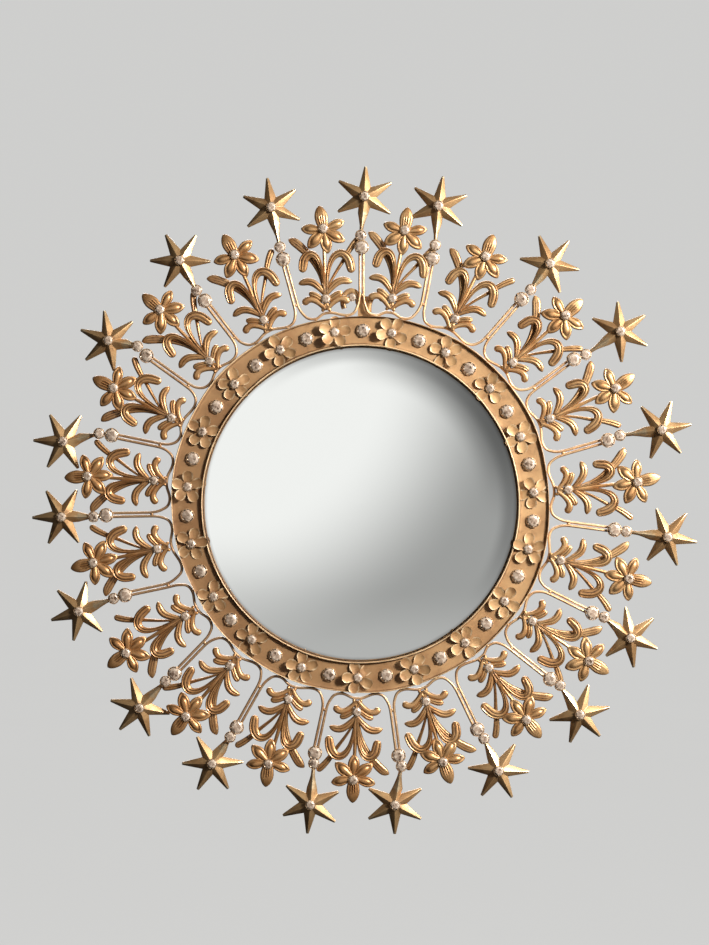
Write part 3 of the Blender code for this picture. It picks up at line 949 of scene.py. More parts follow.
@dataclass
class ClawSetStones:
    """Faceted stones, each in a cup with claws bent over its edge.

    Sizes are shares of the cup's radius.
    """

    claws: int = 5
    girdle: float = 0.88  # Radius of the stone's widest line
    girdle_height: float = 0.42  # Its height over the cup's foot
    table: float = 0.52  # Radius of its flat top
    table_height: float = 0.66  # Height of its flat top
    # The cup's cross-section as radius, height, and soiling with painted shade, dark round the stone and with
    # a painted sheen on its top
    rim: tuple[Triple, ...] = (
        (0.80, 0.0, 1.0), (1.0, 0.24, 0.7), (1.03, 0.42, -0.2), (0.97, 0.44, 0.3), (0.89, 0.18, 1.0),
    )
    # A claw's way over the edge as reach, height and half width
    bend: tuple[Triple, ...] = ((1.02, 0.14, 0.13), (1.03, 0.49, 0.12), (0.82, 0.60, 0.07))
    thin: float = 0.09  # How thick a claw is
    shaken: float = 0.12  # How far a stone may sit askew, in radians

    def stone(self) -> Body:
        """The faceted stone: 8 facets in its table, 40 round it and 16 below its widest line.

        Returns:
            The closed body.
        """
        points = np.vstack([
            around(self.table, even_turns(8, 0.5), self.table_height),
            around((self.girdle + self.table) / 2 + 0.04, even_turns(8), self.table_height - 0.08),
            around(self.girdle, even_turns(16), self.girdle_height),
            around(self.girdle * 0.55, even_turns(16), self.girdle_height * 0.35),
            [[0, 0, self.table_height + 0.01]],
        ])
        faces: list[tuple[int, ...]] = [tuple(range(32, 48))]
        for i in range(8):
            after = (i + 1) % 8
            kite, next_kite, side, next_side = 8 + i, 8 + after, 16 + 2 * i, 16 + 2 * after
            faces += [(48, i, after), (i, next_kite, after), (kite, next_kite, i)]
            faces += [(kite, side + 1, next_kite), (kite, side, side + 1), (next_kite, side + 1, next_side)]
        faces += [(16 + i, 32 + i, 32 + (i + 1) % 16, 16 + (i + 1) % 16) for i in range(16)]
        return Body(points, faces, np.zeros(len(points)))

    def faceted(self) -> Mesh:
        """The stone's mesh, with painted light on its facets. Its flat top is greyer, and of the facets round
        it a few are dark.

        Returns:
            The mesh, with a level of painted light for each facet.
        """
        mesh = self.stone().mesh("stone", 1.0)
        chance = np.random.default_rng(5)
        flat = np.array([abs(face.normal.y) > 0.985 for face in mesh.polygons])
        sloped = chance.uniform(0.0, 0.45, len(flat)) + (chance.uniform(0, 1, len(flat)) < 0.2) * 0.5
        painted_facet_light = np.where(flat, chance.uniform(0.36, 0.92, len(flat)), sloped)
        hold(mesh, "painted_facet_light", painted_facet_light, "FACE")
        return mesh

    def cup(self) -> Body:
        """The cup and its claws.

        Returns:
            All of them in one body.
        """
        radii, heights, dirt_and_shade = np.array(self.rim).T
        cup = Body.lofted(around(radii, even_turns(14)[:, None], heights), dirt_and_shade, ring=True)
        claws = (self._claw().placed(360 * i / self.claws + 20) for i in range(self.claws))
        return Body.joined([cup, *claws])

    def _claw(self) -> Body:
        """One claw, at the top of the cup.

        Returns:
            The closed body.
        """
        corners = ((-1, 0), (1, 0), (1, self.thin), (-1, self.thin))
        loops = [[(s * half, r - under, h - under) for s, under in corners] for r, h, half in self.bend]
        # Soiling and painted shade at the claw's root, and a painted sheen on its worn tip
        return Body.lofted(np.array(loops), [[0.6], [0.1], [-0.6]])

    def build(self, group: str, seats: Sequence[Seat], shop: Workshop, slot: Slot = Slot.AGED_GILT) -> None:
        """Sets a group of stones and their cups.

        Args:
            group: What they sit on, for their names.
            seats: Where they sit. A seat's size is the cup's radius in millimetres.
            shop: The materials and the tools.
            slot: The record's slot.
        """
        stone, claw = shop.finishes.stone, shop.finishes.claw
        shop.setter.set(f"{group}_stones", seats, self.faceted(), stone, self.shaken, slot)
        shop.setter.set(f"{group}_claw_cups", seats, self.cup().mesh("cup", 30.0), claw, slot=slot)


@dataclass
class TrayFrame:
    """The ring-shaped tray with its flat flowers and stones."""

    inner: float = 110.8  # Radius of the inner lip
    outer: float = 134.2  # Radius of the outer lip
    back: float = 2.4  # Depth of its back
    floor: float = 5.3  # Depth of its floor
    lip: float = 7.8  # Depth of its lips
    steps: int = 240  # Cross-sections all round
    middle: float = 121.8  # Radius of the row of flowers and stones
    flower_depth: float = 6.8  # Depth of the petals' roots
    petal_reach: float = 11.5  # From the flower's middle to a petal's end
    petal_radius: float = 3.7  # Of a petal's round end
    single: Setting = Setting(4.4, 4.8, 13)  # How the stones between the flowers are set
    centre: Setting = Setting(6.7, 3.4, 19)  # How the stones in the flowers are set

    def profile(self) -> np.ndarray:
        """The tray's cross-section.

        Returns:
            Rows of radius, depth, and soiling with painted shade.
        """
        lip, floor, back = self.lip, self.floor, self.back
        # Painted shade darkens the foot of each wall and the back, and the lips are worn bright with a
        # painted sheen
        wall = np.array([
            (0.0, lip - 0.9, 0.4), (0.12, lip - 0.25, 0.0), (0.55, lip, -0.6), (1.0, lip - 0.2, -0.3),
            (1.2, lip - 0.9, 0.1), (1.35, floor + 0.8, 0.4), (1.6, floor + 0.25, 0.8),
            (2.3, floor + 0.04, 0.4), (4.2, floor, 0.0),
        ])
        behind = [
            (self.outer - 0.2, back + 0.6, 0.7), (self.outer - 0.8, back, 0.5),
            (self.inner + 0.8, back, 0.5), (self.inner + 0.2, back + 0.6, 0.9),
        ]
        return np.vstack([wall + (self.inner, 0, 0), wall[::-1] * (-1, 1, 1) + (self.outer, 0, 0), behind])

    def tray(self) -> Body:
        """The tray, with its outer wall dented and its lips a little wavy.

        Returns:
            The closed ring.
        """
        radii, depths, dirt_and_shade = self.profile().T
        turns = even_turns(self.steps)[:, None]
        outer = np.clip((radii - self.middle) / (self.outer - self.middle), 0, 1)
        waves = 0.25 * np.sin(turns * 7 + math.radians(40)) + 0.18 * np.sin(turns * 13)
        radius = radii - rim_dent(np.degrees(turns)) * outer**4 + waves * outer
        ripples = 0.14 * np.sin(turns * 11) + 0.1 * np.sin(turns * 23)
        depth = depths + ripples * np.clip(depths - self.lip + 1, 0, 1)
        return Body.lofted(around(radius, turns, depth), dirt_and_shade, ring=True)

    def petal(self) -> Body:
        """One round sheet petal with its root, lying along outward.

        Returns:
            The closed body.
        """
        end, radius = self.petal_reach, self.petal_radius
        middle = end - radius
        outward = [1.2, 3, 4.4, middle - 1.6, middle, middle + 1.8, end - 0.9, end - 0.3, end]
        half = [2.3, 2.4, 2.8, 3.5, radius + 0.1, radius - 0.2, 2.6, 1.6, 0.3]
        outward, half = np.array([outward, half])[..., None]
        u = np.array([-1, -0.55, 0, 0.55, 1, 0.55, 0, -0.55])
        under = np.array([0, 0, 0, 0, 0, 1, 1, 1])
        lift = 0.7 * u**2 * half / radius + 0.8 * np.clip((outward - middle) / radius, 0, 1) ** 2
        loops = np.stack(np.broadcast_arrays(half * u, outward, lift - 0.45 * under), axis=-1)
        # Soiling and painted shade at the root and underneath, and a painted sheen on the worn side edges
        dirt_and_shade = np.clip(1.1 - (outward - 2) / 3.5, 0, 1) - 0.5 * (np.abs(u) > 0.9) + under
        return Body.lofted(loops, np.clip(dirt_and_shade, -0.5, 1))

    def flower_seats(self) -> list[Seat]:
        """Where the petals sit. Each flower and each petal was bent a little by hand.

        Returns:
            Five seats for each flower.
        """
        chance = np.random.default_rng(19)
        seats = []
        for number in range(RAYS):
            first = chance.uniform(0, 72)
            lean = chance.uniform(-6, 6, 2)
            for i in range(5):
                turn = first + 72 * i + chance.uniform(-6, 6)
                tilt = turned(*lean, math.radians(turn))[0] + chance.uniform(-10, 11)
                seat = Seat(0, self.middle, self.flower_depth + 0.3 * (i % 3), 1.0, turn, tilt)
                seats.append(seat.round_centre(ray(number + 0.5)))
        return seats

    def build(self, shop: Workshop) -> None:
        """Builds the tray, its flowers and its stones.

        Args:
            shop: The materials and the tools.
        """
        show("frame_tray", self.tray().mesh("frame_tray", 50.0, shop.finishes.tray), "frame_ring")
        petal = self.petal().mesh("petal", 40.0)
        shop.setter.set("tray_flowers", self.flower_seats(), petal, shop.finishes.petal, 0.03)
        singles = [self.single.seat(number, 0, self.middle) for number in range(RAYS)]
        ClawSetStones(claws=6).build("tray", singles, shop)
        centres = [self.centre.seat(number, 0, self.middle, 0.5) for number in range(RAYS)]
        ClawSetStones().build("tray_flower", centres, shop)


@dataclass
class MirrorGlass:
    """The convex glass."""

    radius: float = 110.6
    back: float = 2.5  # Depth of its back
    edge: float = 3.8  # Depth of its front at the edge
    crown: float = 10.6  # Depth of its front in the middle
    steps: int = 128  # Corners of its edge

    @property
    def sphere(self) -> float:
        """Radius of the sphere that its front is a part of."""
        rise = self.crown - self.edge
        return (self.radius**2 + rise**2) / (2 * rise)

    def body(self) -> Body:
        """The glass, closed at its middle in front and behind.

        Returns:
            The closed body.
        """
        reach = np.linspace(0.01, 1, 16) * self.radius
        front = self.crown - self.sphere + np.sqrt(self.sphere**2 - reach**2)
        radii = np.r_[reach, self.radius + 0.1, self.radius + 0.1, self.radius, 0.02]
        depths = np.r_[front, self.edge - 0.2, self.back + 0.2, self.back, self.back]
        return Body.lofted(around(radii[:, None], even_turns(self.steps), depths[:, None]), 0.0)

    def build(self, shop: Workshop) -> None:
        """Builds the glass."""
        mesh = self.body().mesh("convex_glass", 40.0, shop.finishes.glass)
        show("convex_glass", mesh, "mirror_glass", slot=Slot.SILVERED_GLASS)


@dataclass
class StarHead:
    """One stamped star with its neck, hollow behind."""

    number: int  # Which ray, from 0
    tip: Triple = (21.4, 0.95, 0.45)  # Reach, half width and ridge height of a blunt tip
    notch: float = 8.3  # From its middle to a notch
    # Reach, half width and ridge height of the neck on its way to the small stone
    neck: tuple[Triple, ...] = ((11.5, 3.6, 2.6), (16.0, 2.4, 2.0), (20.0, 1.5, 1.6))
    neck_end: Pair = (1.0, 1.4)  # Half width and ridge height of the neck's end
    back: float = 4.0  # Depth of its rim's back
    sheet: float = 0.9  # Thickness of the metal
    crown: float = 4.6  # Height of its middle over its rim
    worn: float = 0.26  # How far its edges are rounded
    star_stone: Setting = Setting(8.4, 3.5, 11)  # How the stone on its middle is set
    head_stone: Setting = Setting(5.4, 5.0, 23)  # How the large stone at the stem's head is set
    small_stone: Setting = Setting(5.6, 3.9, 31)  # How the small stone between them is set

    @property
    def lean(self) -> Ray:
        """How this ray stands."""
        return RAY_LEANS[self.number]

    def arms(self) -> list[tuple[float, tuple[Triple, ...]]]:
        """The six arms. The fourth is the neck.

        Returns:
            Direction of each, and its reach, half width and ridge height on its way from the notches.
        """
        away = Vector((self.lean.small - self.lean.star, self.lean.small_reach - self.lean.star_reach))
        arms = [(60.0 * i, (self.tip,)) for i in range(6)]
        towards_stem = math.degrees(math.atan2(away.x, away.y)) - self.lean.turn
        arms[3] = (towards_stem, (*self.neck, (away.length, *self.neck_end)))
        return arms

    def body(self) -> Body:
        """The star in its own frame.

        Returns:
            The closed body.
        """
        top = [(0.0, 0.0, self.crown), *around(self.notch, even_turns(6, 0.5), 0.0)]
        # Soiling and painted shade in the middle and at the notches, and a painted sheen on the worn ridges
        # and edges
        dirt_and_shade = [0.75, *[0.25] * 6]
        rim: list[int] = []
        faces: list[tuple[int, ...]] = []
        for i, (direction, stations) in enumerate(self.arms()):
            ridge, left, right = 0, 1 + (i - 1) % 6, 1 + i
            lefts, rights = [], []
            for reach, half, height in stations:
                at = len(top)
                for side, rise in ((0.0, height), (-half, 0.0), (half, 0.0)):
                    top.append((*turned(side, reach, math.radians(direction)), rise))
                dirt_and_shade += [-0.5, -0.2, -0.2]
                faces += [(ridge, left, at + 1, at), (ridge, at, at + 2, right)]
                ridge, left, right = at, at + 1, at + 2
                lefts.append(left)
                rights.append(right)
            faces.append((ridge, left, right))
            rim += [*lefts, *rights[::-1], 1 + i]
        points, count = np.array(top), len(top)
        faces += [tuple(corner + count for corner in face) for face in faces]
        faces += [(a, b, count + b, count + a) for a, b in zip(rim, rim[1:] + rim[:1])]
        # The inside is a little smaller, and each star is bent a little its own way
        whole = np.vstack([points + (0, 0, self.sheet), points * (0.985, 0.985, 1)]) + (0, 0, self.back)
        whole[:, 2] += whole[:, :2] @ (0.06 * np.sin([2.4 * self.number, 1.7 * self.number + 1]))
        return Body(whole, faces, np.r_[dirt_and_shade, np.full(count, 0.4)])

    def build(self, shop: Workshop) -> None:
        """Builds the star, with its edges a little rounded.

        Args:
            shop: The materials and the tools.
        """
        lean, name = self.lean, f"stamped_star_{self.number + 1:02d}"
        placed = self.body().placed(lean.turn, lean.star, lean.star_reach).placed(ray(self.number))
        carrier = add_object(name, placed.mesh(name, 20.0, shop.finishes.star))
        bevel = carrier.modifiers.new("Worn edges", "BEVEL")
        bevel.width = self.worn * MM
        bevel.segments = 2
        bevel.angle_limit = math.radians(12)
        show(name, shaded(plain_mesh(carrier, name), 28.0), f"star_{self.number + 1:02d}")

    def seats(self) -> list[Seat]:
        """Where the three stones of this ray sit.

        Returns:
            The seats of the star's, the large and the small stone.
        """
        places = (
            (self.star_stone, self.lean.star, self.lean.star_reach),
            (self.head_stone, self.lean.head, self.lean.head_reach),
            (self.small_stone, self.lean.small, self.lean.small_reach),
        )
        return [setting.seat(self.number, side, outward) for setting, side, outward in places]


@dataclass
class LilySpray:
    """The cast lily spray, which is the same casting all round and leans its own way each time.

    The depths of the leaves are counted from its back, and those of the petals from flower_depth.
    """

    foot_reach: float = 137.6  # Radius of its foot
    back: float = 5.9  # Depth of its back
    flower_depth: float = 7.6  # Depth of its flower's petals
    root: float = 1.0  # How far inward of the flower's stone its petals meet
    stone_reach: float = 8.2  # From its foot to the stone on its stem
    stem_stone: Setting = Setting(7.2, 3.3, 17)  # How that stone is set
    flower_stone: Setting = Setting(9.3, 3.5, 29)  # How the flower's stone is set

    def stem(self) -> Leaf:
        """The stem, with the stalks of the upper leaves running along it.

        Returns:
            The stem, drawn as a leaf.
        """
        line = (
            (0, 0.4, 0, 2.4), (0, 6, 0.2, 3.4), (0, 12, 0.2, 4), (0, 20, 0.3, 3.4),
            (0, 28, 0.3, 2.9), (0, 36, 0.3, 2.6), (0, 44, 0.2, 2.5), (0, 50, -0.6, 2.5),
        )
        return Leaf(line, 1.8, (-0.4, 0.4), sections=24, columns=11)

    def right_leaves(self) -> list[Leaf]:
        """What the lower half has on its right, and the same on its left.

        Returns:
            The short lobe that grips the wire, and three leaves.
        """
        lobe = ((0.4, 5, 0, 2.8), (1.5, 2.4, 0.1, 2.7), (2.9, -0.6, -0.2, 2.4))
        low = ((0.6, 0.8, 0, 2.8), (4.6, 5.2, 0.2, 3.5), (9.2, 8, 0.5, 4.2), (13, 7.8, 0.5, 5), (16, 5, 0, 5))
        short = ((0.8, 6.6, 0, 3.2), (4.2, 9.2, 0.5, 3.9), (8, 11.5, 0.8, 4.3), (11.8, 12.4, 0.4, 4.1))
        high = (
            (0.8, 12.2, 0, 3.2), (4.4, 16.4, 0.4, 4.4), (8.6, 19.9, 0.7, 5.3), (13.2, 20.9, 0.6, 5.2),
            (18.8, 19.4, 0, 4.4),
        )
        return [
            Leaf(lobe, 1.9, sections=10, columns=9),
            Leaf(low, 2.2, (0.1,), 0.25),
            Leaf(short, 2.0, (0.0,), 0.25, sections=14),
            Leaf(high, 2.1, (0.05,), tip=Tip.OVAL),
        ]

    def upper_leaves(self) -> list[Leaf]:
        """The arched leaves in front, and a straight one and a wide curved one behind them.

        Returns:
            The arched right and left leaves, the straight right one and the curved left one.
        """
        grooves = (-0.5, -0.12, 0.26, 0.62)
        right = (
            (0.7, 13, 0.2, 1.7), (1.4, 20, 0.5, 2), (2.3, 27, 0.7, 2.6), (3.7, 32.6, 0.9, 3.4),
            (6.3, 37.4, 1.1, 4.6), (10, 39.8, 1.2, 5.6), (13.6, 39.2, 1.2, 6.2), (16.6, 36, 1, 6.7),
            (18, 31.6, 0.6, 6.6), (18.8, 26, 0, 5.4),
        )
        left = (
            (-0.7, 13, 0.2, 1.7), (-1.4, 20, 0.5, 2), (-2.2, 27, 0.7, 2.6), (-3.4, 32.6, 0.9, 3.4),
            (-5.5, 37.2, 1.1, 4.6), (-8.5, 39.6, 1.2, 5.6), (-11.6, 39.3, 1.2, 6.2), (-14.2, 36.4, 1, 6.6),
            (-15.2, 32.2, 0.6, 6.4), (-15.8, 27.4, 0, 5.2),
        )
        straight = (
            (1.2, 16, -0.2, 1.8), (6.8, 25.6, -0.8, 2.1), (13.4, 35.4, -1.6, 2.8), (17, 41.4, -2, 3.9),
            (21.4, 47.2, -2.2, 4.6), (25.8, 51.6, -2.6, 4.6),
        )
        curved = (
            (-1, 17, -0.2, 3), (-3.2, 26.4, -0.8, 4.2), (-7, 34.2, -1.5, 4.8), (-11.2, 40, -1.9, 5.4),
            (-15.8, 45, -2, 6.2), (-20.6, 49.2, -2.2, 6.2), (-25, 51.4, -2.6, 5),
        )
        return [
            Leaf(right, 2.2, grooves, flat=3.0, sections=34),
            Leaf(left, 2.2, tuple(-place for place in grooves), flat=3.0, sections=34),
            Leaf(straight, 1.7, (0.0,), sections=22),
            Leaf(curved, 1.7, (-0.25, 0.25), 0.25, tip=Tip.OVAL, sections=24),
        ]

    def flower(self) -> Body:
        """The flower in its own frame, with its stone at the origin.

        One petal has grooves and lies over the others towards outward. The other five are like spoons.

        Returns:
            The six petals.
        """
        line = (
            (0, -1.6, 0, 4.6), (0, 2.2, 0.9, 7.6), (0, 6.6, 1.1, 9.3), (0, 11.2, 0.9, 9.6), (0, 16.4, 0, 9.2),
        )
        grooves = (-0.56, -0.19, 0.19, 0.56)
        petals = [Leaf(line, 2.1, grooves, 0.34, flat=3.0, tip=Tip.OVAL, sections=24, columns=19).body()]
        sides = [(sign * degrees, *rest) for sign in (1, -1) for degrees, *rest in (
            (76, 15.8, 7.4, 0.3), (128, 16.6, 8.4, 0.1),
        )]
        for degrees, reach, width, over in (*sides, (180, 16.4, 8.2, -0.4)):
            line = (
                (0, 0.8, -0.2, width * 0.4), (0, 4.4, 0.3, width * 0.72), (0, 8.4, 0.6, width),
                (0, 12, 0.3, width * 1.02), (0, reach, -0.9, width * 0.92),
            )
            petal = Leaf(line, 2.0, moat=0.42, flat=3.0, tip=Tip.OVAL, sections=22, columns=21)
            petals.append(petal.body().placed(degrees, 0, -self.root, over))
        return Body.joined(petals)

    def casting(self) -> Body:
        """The casting without its flower, with its foot at the origin.

        Returns:
            Stem and leaves in one body.
        """
        bodies = [leaf.body() for leaf in (self.stem(), *self.upper_leaves())]
        for leaf in self.right_leaves():
            bodies += leaf.body().with_mirrored()
        return Body.joined(bodies)

    def tilt(self, lean: Lean) -> float:
        """How far the casting leans, in degrees clockwise."""
        return math.degrees(math.atan2(lean.flower - lean.foot, lean.reach - self.foot_reach))

    def seats(self) -> list[Seat]:
        """Where the two stones of each spray sit.

        Returns:
            Two seats for each spray.
        """
        seats = []
        for number, lean in enumerate(SPRAY_LEANS):
            side, outward = turned(0, self.stone_reach, math.radians(self.tilt(lean)))
            seats.append(self.stem_stone.seat(number, lean.foot + side, self.foot_reach + outward, 0.5))
            seats.append(self.flower_stone.seat(number, lean.flower, lean.reach, 0.5))
        return seats

    def build(self, shop: Workshop) -> None:
        """Builds the 19 sprays and their stones.

        Args:
            shop: The materials and the tools.
        """
        casting, flower = self.casting(), self.flower()
        for number, lean in enumerate(SPRAY_LEANS):
            standing = casting.placed(self.tilt(lean), lean.foot, self.foot_reach, self.back)
            blooming = flower.placed(lean.turn, lean.flower, lean.reach, self.flower_depth)
            whole = Body.joined([standing, blooming]).placed(ray(number + 0.5))
            name = f"lily_spray_{number + 1:02d}"
            show(name, whole.mesh(name, 60.0, shop.finishes.cast), f"spray_{number + 1:02d}")
        ClawSetStones(claws=4).build("spray", self.seats(), shop)


@dataclass
class StemWires:
    """The bent wires. Each holds a spray, and its legs are halves of the stems on both sides."""

    radius: float = 1.0
    depth: float = 4.6  # Of its middle line
    spacing: float = 1.3  # From a stem's middle to each of its wires
    # The way of a leg from the stem onto the rim: from the stem's middle, and radius
    fork: tuple[Pair, ...] = ((1.3, 146.5), (1.8, 141.8), (4.6, 137), (8.4, 135.3), (12.4, 135.4))
    # Radii below which sideways is measured along the rim, and above which it is straight
    rim: Pair = (137.0, 141.0)
    saddle: float = 137.9  # Radius at which it passes under a spray
    saddle_half: float = 3.4  # Half the way that it goes straight there
    softness: float = 1.7  # How gently it is bent
    stride: float = 0.4  # From one point of its middle line to the next
    joint: Pair = (10.4, 135.1)  # Where it is soldered to the rim: from the stem's middle, and radius
    joint_size: float = 1.35  # Radius of the drops on the rim
    fork_joint: float = 146.8  # Radius at which a stem's two wires are soldered
    fork_joint_size: float = 1.3  # Radius of the drop there

    def leg(self, number: int, sign: int) -> list[Pair]:
        """One leg from its head down to where it leaves the rim.

        Args:
            number: Which stem.
            sign: 1 for a left-hand leg of the wire, -1 for a right-hand one.

        Returns:
            Corners as sideways and outward, before they are rounded.
        """
        lean = RAY_LEANS[number % RAYS]
        head = (lean.head + sign * self.spacing, lean.head_reach - 2.0)
        return self._round_rim([head, *((lean.foot + sign * side, out) for side, out in self.fork)], number)

    def _round_rim(self, corners: Iterable[Pair], number: float) -> list[Pair]:
        """Turns corners from a ray's frame into the mirror's.

        Near the rim, sideways is measured along the rim, which is dented.

        Args:
            corners: Sideways and outward.
            number: Which ray.

        Returns:
            Sideways and outward in the mirror's frame.
        """
        placed, (low, high) = [], self.rim
        for side, reach in corners:
            near = min(max((high - reach) / (high - low), 0), 1)
            angle = math.radians(ray(number)) + near * side / reach
            outward = reach - near * float(rim_dent(math.degrees(angle) % 360))
            placed.append(turned(side * (1 - near), outward, angle))
        return placed

    def route(self, number: int) -> np.ndarray:
        """The middle line of one wire, in the mirror's frame.

        Args:
            number: Which wire, from 0.

        Returns:
            Rows of sideways, outward and depth.
        """
        foot = SPRAY_LEANS[number].foot
        ends = [(foot + side, self.saddle) for side in (-self.saddle_half, self.saddle_half)]
        saddle = self._round_rim(ends, number + 0.5)
        corners = np.array([*self.leg(number, 1), *saddle, *self.leg(number + 1, -1)[::-1]])
        length, step = along(corners)[-1], self.stride
        even = np.linspace(0, length, int(length / step))
        line = read(corners, even)
        # A soft moving average rounds the corners
        reach = int(self.softness * 3 / step)
        weights = np.exp(-((np.arange(-reach, reach + 1) * step / self.softness) ** 2) / 2)
        weights /= weights.sum()
        padded = np.vstack([2 * line[0] - line[reach:0:-1], line, 2 * line[-1] - line[-2 : -reach - 2 : -1]])
        smooth = [np.convolve(column, weights, "valid") for column in padded.T]
        wobble = 0.12 * np.sin(even / 5.3 + number) + 0.08 * np.sin(even / 2.9 + 2 * number)
        return np.column_stack([*smooth, self.depth + wobble])[::3]

    def solder_seats(self) -> list[Seat]:
        """Where the drops of solder sit: on the rim beside both stems of a wire, and in each stem's fork.

        Returns:
            Three seats for each wire.
        """
        seats = []
        side, reach = self.joint
        for number in range(RAYS):
            for at, sign in ((number, 1), (number + 1, -1)):
                (place,) = self._round_rim([(RAY_LEANS[at % RAYS].foot + sign * side, reach)], at)
                seats.append(Seat(*place, self.depth, self.joint_size))
            fork = Seat(RAY_LEANS[number].foot, self.fork_joint, self.depth, self.fork_joint_size)
            seats.append(fork.round_centre(ray(number)))
        return seats

    def drop(self) -> Body:
        """A drop of solder of radius 1, a little flat."""
        tilt = np.linspace(0.25, math.pi - 0.25, 5)[:, None]
        return Body.lofted(around(np.sin(tilt), even_turns(8), -0.7 * np.cos(tilt)), 0.3)

    def build(self, shop: Workshop) -> None:
        """Builds the 19 wires and their solder.

        Args:
            shop: The materials and the tools.
        """
        finish = shop.finishes.wire
        for number in range(RAYS):
            name = f"stem_wire_{number + 1:02d}"
            wire = shop.bender.bend(name, self.route(number), self.radius, finish)
            show(name, shaded(wire, 60.0), f"wire_{number + 1:02d}")
        shop.setter.set("solder_drops", self.solder_seats(), self.drop().mesh("drop", 80.0), finish, 0.2)


@dataclass
class BackPlate:
    """The round sheet back and the hanger at its top."""

    radius: float = 127.0
    sheet: float = 2.0  # Its depth in front
    steps: int = 160  # Corners of its edge
    strip: float = 3.8  # Width of the hanger's arms
    stone: Setting = Setting(2.2, 3.0)  # How the hanger's stone is set
    stone_place: Pair = (-5.8, 145.4)  # Where it is, sideways and outward

    def plate(self) -> Body:
        """The plate, with a pressed step near its edge behind.

        Returns:
            The closed body.
        """
        edge, front = self.radius, self.sheet
        # Radius, depth, and soiling with painted shade, darkest in the pressed step, with a painted sheen on
        # the worn edge
        profile = np.array([
            (0.05, 0.9, 0.3), (60, 0.9, 0.2), (108, 0.9, 0.3), (110, 0.7, 0.9), (112, 0.1, 0.5),
            (edge - 1.2, 0, 0.1), (edge - 0.3, 0.3, -0.3), (edge, 1, 0.2), (edge - 0.4, front, 0.6),
            (0.05, front, 0.8),
        ])
        radii, depths, dirt_and_shade = profile.T[:, :, None]
        return Body.lofted(around(radii, even_turns(self.steps), depths), dirt_and_shade)

    def arm(self, knots: Sequence[Pair]) -> Body:
        """One curled arm of the hanger."""
        line = [(side, outward, 1.6, self.strip) for side, outward in knots]
        return Leaf(line, 1.1, sections=30, columns=9).body()

    def hanger(self) -> Body:
        """The tab and its arms.

        Returns:
            Three closed bodies in one.
        """
        corners = ((-1.8, 121), (-1.8, 144.6), (-0.8, 146.2), (6.8, 146.2), (7.8, 144.6), (7.8, 121))
        tab = np.array([[(*corner, depth) for corner in corners] for depth in (0.4, 2.1)])
        left = (
            (-11.4, 137.6), (-12.4, 141), (-12, 145), (-10, 148.6), (-6.4, 150.2), (-3.2, 148.6),
            (-2, 145), (-1.6, 140),
        )
        right = ((5.2, 135), (6.2, 140.4), (8, 145), (11, 147), (14, 145.8), (15.8, 142.6))
        return Body.joined([Body.lofted(tab, [[0.6], [0.1]]), self.arm(left), self.arm(right)])

    def build(self, shop: Workshop) -> None:
        """Builds the plate, the hanger and the stone on it.

        Args:
            shop: The materials and the tools.
        """
        mesh = Body.joined([self.plate(), self.hanger()]).mesh("round_back", 40.0, shop.finishes.back)
        show("round_back", mesh, "back_plate", slot=Slot.DULL_GILT)
        seat = Seat(*self.stone_place, self.stone.depth, self.stone.size)
        ClawSetStones(claws=4).build("hanger", [seat], shop, Slot.DULL_GILT)


